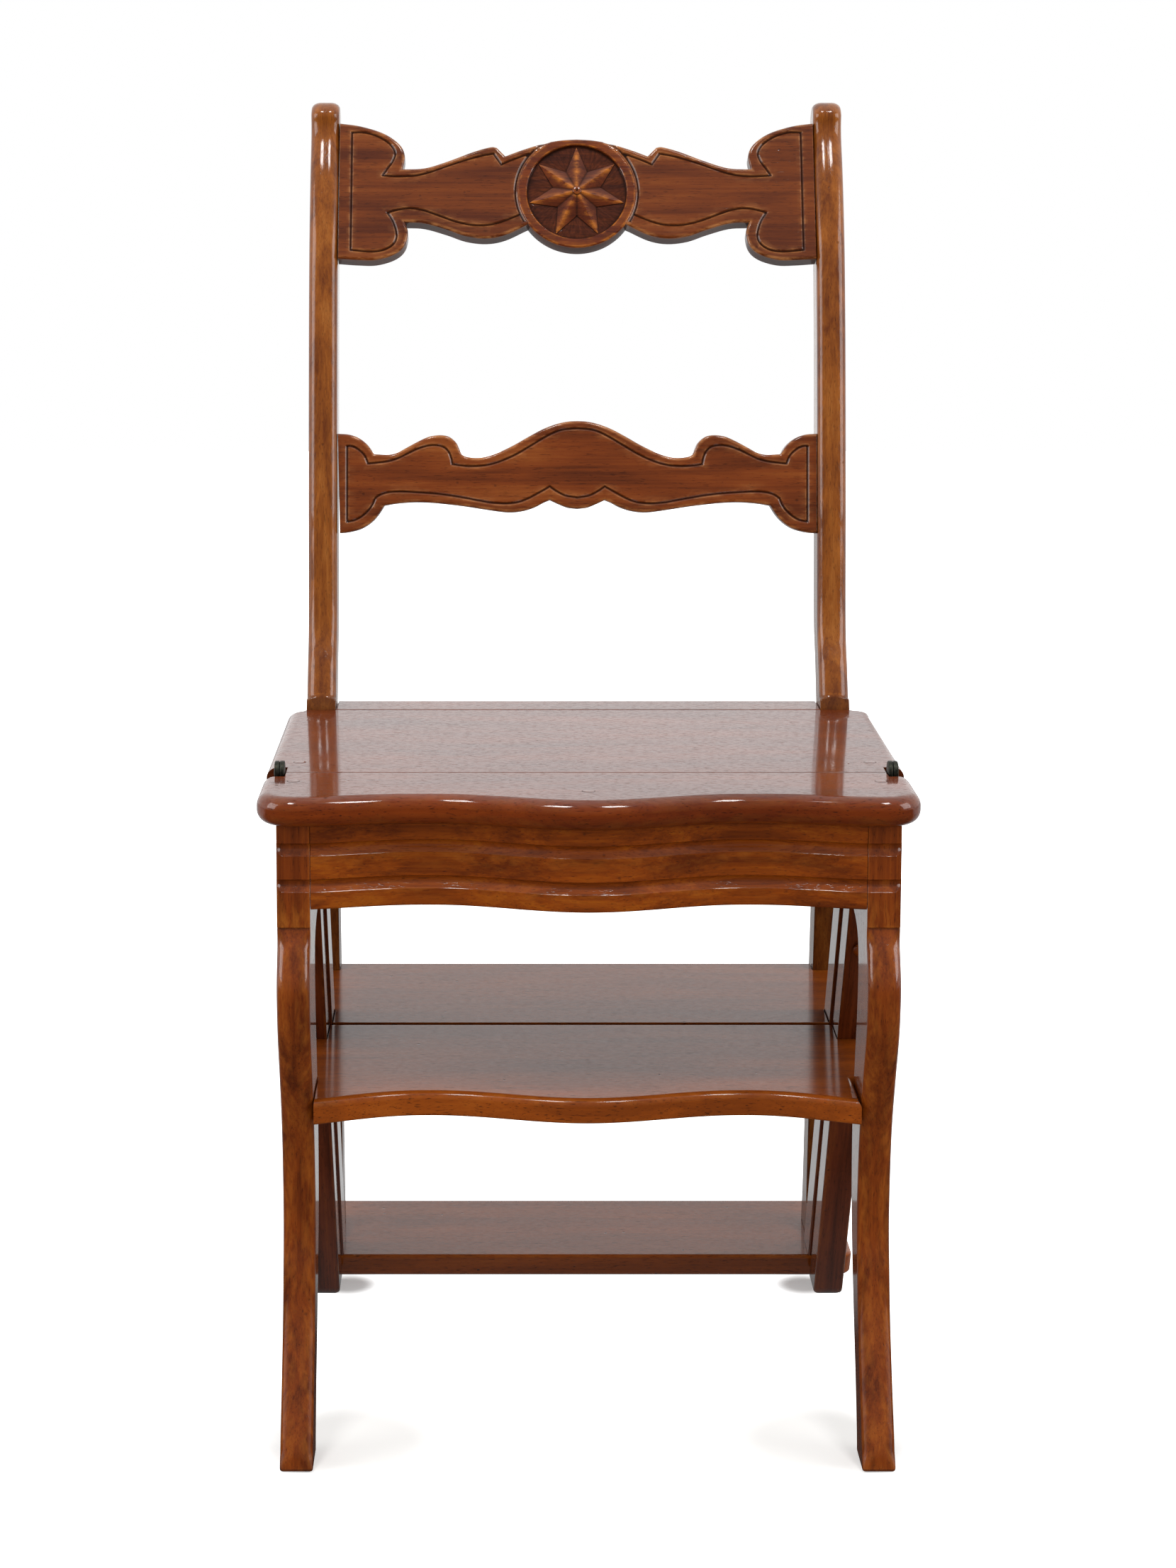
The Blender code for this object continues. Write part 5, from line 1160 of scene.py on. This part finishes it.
def buildStrap(name, node, side, way, length, base, thick):
    # A flat bar with eased edges: its half width follows the eye's circle, then the bar, then a round tip, and
    # its layer and thickness follow the stations along it.
    s = hinges
    r, h = s["eyeRadius"], s["strapHalfWidth"]
    neck = math.sqrt(r * r - h * h)
    eye = -r * np.cos(np.linspace(0.0, math.pi - math.acos(neck / r), 15))
    tip = length + h * np.sin(np.linspace(0.0, math.pi / 2, 9))
    a = np.concatenate([eye, np.linspace(neck, length, 22)[1:-1], tip])
    half = np.where(a < neck, np.sqrt(np.maximum(r * r - a * a, 0)), h)
    half = np.where(a > length, np.sqrt(np.maximum(h * h - (a - length) ** 2, 0)), half)
    half = np.maximum(half, 0.05)[:, None]
    ease = np.minimum(1.0, 0.8 * half)
    angle = np.radians(np.concatenate([np.linspace(q, q + 90, 4) for q in (0, 90, 180, 270)]))
    sideSign = np.repeat([1.0, -1.0, -1.0, 1.0], 4)
    upper = np.repeat([1.0, 1.0, 0.0, 0.0], 4)
    low, deep = np.interp(a, *base)[:, None], np.interp(a, *thick)[:, None]
    across = sideSign * (half - ease) + ease * np.cos(angle)
    layer = low + ease + upper * (deep - 2 * ease) + ease * np.sin(angle)
    points = np.stack(np.broadcast_arrays(a[:, None], across, layer), -1)
    makePiece(name, node, onAxis(points, (0, 0, s["height"]), (0.0, *way), (side, 0.0, 0.0)),
              tubeFaces(*layer.shape, turned=True), ironFinish, crease=50)


def buildRivet(name, node, side, spot, profile, slotDeep=0.0):
    # A turned head on its shank, with a straight driver slot where it has one
    points, faces = turnedPoints(profile, 48)
    top = points[:, 2] > profile[-1][1] + 1.0
    points[:, 2] -= np.where(top, slotDeep * np.clip((0.7 - np.abs(points[:, 1])) / 0.3, 0, 1), 0)
    makePiece(name, node, onAxis(points, spot, (0.0, 1.0, 0.0), (side, 0.0, 0.0)), faces, ironFinish)


def domedProfile(radius, height, base, shank, deep):
    # a quarter ellipse, radius times sin a by height times cos a, and a straight shank under it
    a = np.radians(np.linspace(2, 90, 8))
    dome = np.stack([radius * np.sin(a), base + height * np.cos(a)], 1)
    return np.vstack([dome, [(shank, base), (shank, base - deep), (shank * 0.5, base - deep - 0.3)]]).tolist()


def buildHinge(side, label):
    # Two straps whose eyes lie side by side, each with screws at shares of its length, and the pin through both.
    s = hinges
    low = label.lower()
    middle = carcase["frameGap"] / 2 + carcase["stringerDepth"] / 2
    outerEye = s["inner"] + s["eyeThick"] + s["eyeGap"]
    head = outerEye + (s["eyeThick"] - s["strapThick"]) / 2
    eyeEnd = (s["eyeRadius"], s["eyeRadius"] + 3.0)
    for half, offset, base, screwBase in (
            ("front", -middle, ([0.0, 1.0], [s["inner"]] * 2), s["inner"]),
            ("rear", middle, ([*eyeEnd, *s["crank"]], [outerEye, head, head, s["tail"]]), s["tail"])):
        way, length = strapWay(offset)
        buildStrap(half + "Strap" + label, f"{half}_hinge_strap_{low}", side, way, length, base,
                   (eyeEnd, (s["eyeThick"], s["strapThick"])))
        profile = domedProfile(*s["screwHead"], screwBase + s["strapThick"] - 0.05, *s["screwShank"])
        for k, share in enumerate(s["screwShares"], 1):
            y, z = share * length * way
            buildRivet(f"{half}StrapScrew{k}{label}", f"{half}_strap_screw_{k}_{low}", side,
                       (0, y, s["height"] + z), profile, s["slotDeep"])
    neck = outerEye + s["eyeThick"]
    profile = domedProfile(*s["pinHead"], neck, s["pinRadius"], neck - s["inner"])
    buildRivet("hingePin" + label, "hinge_pin_" + low, side, (0, 0, s["height"]), profile)


buildSeat()
buildPlugs()
print("seat boards and plugs ready")
buildApron()
buildTreads()
print("apron and treads ready")
for sideSign, sideLabel in ((-1, "Left"), (1, "Right")):
    buildFrontLeg(sideSign, sideLabel)
    buildStringers(sideSign, sideLabel)
    buildPost(sideSign, sideLabel)
    buildButtons(sideSign, sideLabel)
    buildHinge(sideSign, sideLabel)
print("legs, stringers, posts and hinges ready")
buildCrest()
buildRoundel()
buildMidRail()
print("carved rails ready")


# Finishes for the carried nodes

for nodeName, node in frame["nodes"].items():
    unpolished = "corner_block" in nodeName or "side_rail" in nodeName
    for materialSlot in node.material_slots:
        materialSlot.material = plainWood if unpolished else apronWood
print("carried nodes finished")


# Studio

studio = {
    "floorHalf": 7.0,
    "floorHeight": -0.0005,
    "floorColour": "F2F1EE",
    "floorBounce": "B4B3B0",       # its colour for the light that it sends back to the object
    "floorWhite": 2.0,
    "floorShadow": 0.85,           # the share of the floor's picture by the feet that its real light and shadow make
    # where the floor's picture shows its shadows, on both sides: x, y and how far round that, in metres
    "shadowSpots": ((0.160, -0.188, 0.12), (0.177, 0.110, 0.035)),
    "floorMirrored": (0.03, 0.62),    # how bright the floor is in the polish, in front and from 0.35 m behind
    "worldLight": (1.0, 0.45),     # from in front and from behind,
    "worldLevel": (1.4, 0.55),     # and the share of that which comes in level and from high up
    "mirroredFront": (0.04, 0.24),    # how bright the room is in the polish: in front, level and high up,
    "mirroredBehind": 1.06,        # and behind and at the sides
    "lens": 71.797,
    "sensor": 36.0,
    "cameraPlace": (-0.0545, -2.0903, 0.8728),
    "pitchDown": 7.0,
    "shift": (0.0523, -0.1566),
    "aim": (0.0, 0.0, 0.45),       # what the lamps look at
    "boxes": {
        # azimuth from straight in front, elevation, distance in metres, size, radiance where 1 is white
        "leftSoftbox": (-29.0, 61.5, 4.5, (0.78, 0.85), 18.5),
        "rightSoftbox": (29.0, 61.5, 4.5, (0.78, 0.85), 18.5),
        "leftStrip": (-72.0, 20.0, 2.2, (1.0, 1.25), 3.0),
        "rightStrip": (72.0, 20.0, 2.2, (1.0, 1.25), 3.0),
    },
}


def buildFloor():
    # A paper floor. The camera sees it mostly plain white, with the shadows that the lamps make by the feet,
    # and the polish mirrors it dark, as the unlit paper in front of a lit set is.
    s = studio
    half = s["floorHalf"]
    mesh = bpy.data.meshes.new("studioFloor")
    mesh.from_pydata([(x * half, y * half, s["floorHeight"]) for x, y in ((-1, -1), (1, -1), (1, 1), (-1, 1))], [],
                     [(0, 1, 2, 3)])
    material, add = newMaterial("matPaperFloor")
    path = add("LightPath").outputs
    spot = add("TexCoord").outputs["Object"]
    y = add("SeparateXYZ", (spot,)).outputs["Y"]
    paper, bounce = [add("BsdfDiffuse", {"Color": linear(s[key])}) for key in ("floorColour", "floorBounce")]
    depth = add("MapRange", (y, 0.0, 0.35, *s["floorMirrored"]))
    plain, mirrored = [add("Emission", {"Strength": strength}) for strength in (s["floorWhite"], depth)]

    # both sides folded onto one, then the least share of the way from a spot to its edge
    folded = add("VectorMath", (spot,), operation="ABSOLUTE")
    oneSided = add("CombineXYZ", (add("SeparateXYZ", (folded,)).outputs["X"], y))
    away = []
    for spotX, spotY, around in s["shadowSpots"]:
        apart = add("VectorMath", (oneSided, (spotX, spotY, 0.0)), operation="DISTANCE").outputs["Value"]
        away.append(add("Math", (apart, around), operation="DIVIDE"))
    nearest = add("Math", away, operation="MINIMUM")
    fade = add("MapRange", (nearest, 0.3, 1.0, 1.0 - s["floorShadow"], 1.0), interpolation_type="SMOOTHSTEP")
    seen = add("MixShader", (fade, paper, plain))
    shown = add("MixShader", (path["Is Camera Ray"], bounce, seen))
    add("OutputMaterial", (add("MixShader", (path["Is Glossy Ray"], shown, mirrored)),))
    mesh.materials.append(material)
    linkNew("studioFloor", mesh)


def buildWorld():
    # White behind the object for the camera and for the polish, dimmer in front where the camera stands, and
    # a plain even light for everything else.
    s = studio
    world = bpy.data.worlds.new("paleStudio")
    world.use_nodes = True
    world.node_tree.nodes.clear()
    add = partial(addNode, world.node_tree)
    path = add("LightPath").outputs
    direction = add("SeparateXYZ", (add("TexCoord").outputs["Generated"],)).outputs
    front = add("MapRange", (direction["Z"], 0.0, 0.7, *s["mirroredFront"]))
    mirrored = add("MapRange", (direction["Y"], -0.6, 0.1, front, s["mirroredBehind"]))
    even = add("MapRange", (direction["Y"], -0.8, 0.4, *s["worldLight"]))
    level = add("MapRange", (direction["Z"], 0.1, 0.7, *s["worldLevel"]))
    even = add("Math", (even, level), operation="MULTIPLY")
    glossy = add("Math", (path["Is Glossy Ray"], mirrored), operation="MULTIPLY")
    light = add("Math", (path["Is Diffuse Ray"], even), operation="MULTIPLY")
    direct = add("Math", (path["Is Camera Ray"], path["Is Transmission Ray"]), operation="ADD", use_clamp=True)
    strength = add("Math", (direct, glossy), operation="MAXIMUM")
    strength = add("Math", (strength, light), operation="MAXIMUM")
    add("OutputWorld", (add("Background", {"Color": (1, 1, 1, 1), "Strength": strength}),))
    bpy.context.scene.world = world


def buildLamps():
    # Rectangular softboxes on spheres round the aim, each turned towards it.
    for name, (azimuth, elevation, distance, size, radiance) in studio["boxes"].items():
        lamp = bpy.data.lights.new(name, "AREA")
        lamp.shape = "RECTANGLE"
        lamp.size, lamp.size_y = size
        # an area lamp's radiance is a quarter of its watts over its area
        lamp.energy = 4.0 * radiance * size[0] * size[1]
        a, e = math.radians(azimuth), math.radians(elevation)
        away = Vector((math.sin(a) * math.cos(e), -math.cos(a) * math.cos(e), math.sin(e)))
        box = linkNew(name, lamp)
        box.location = Vector(studio["aim"]) + distance * away
        box.rotation_euler = away.to_track_quat("Z", "Y").to_euler()


def buildCamera():
    s = studio
    camera = bpy.data.cameras.new("catalogueCamera")
    camera.lens, camera.sensor_width = s["lens"], s["sensor"]
    camera.shift_x, camera.shift_y = s["shift"]
    eye = linkNew("catalogueCamera", camera)
    x, y, z = s["cameraPlace"]
    eye.location = (x, y + hingeBehindOrigin * 0.001, z)
    eye.rotation_euler = (math.radians(90.0 - s["pitchDown"]), 0.0, 0.0)
    bpy.context.scene.camera = eye
    bpy.context.scene.view_settings.view_transform = "Standard"


buildFloor()
buildWorld()
buildLamps()
buildCamera()
print("studio ready")
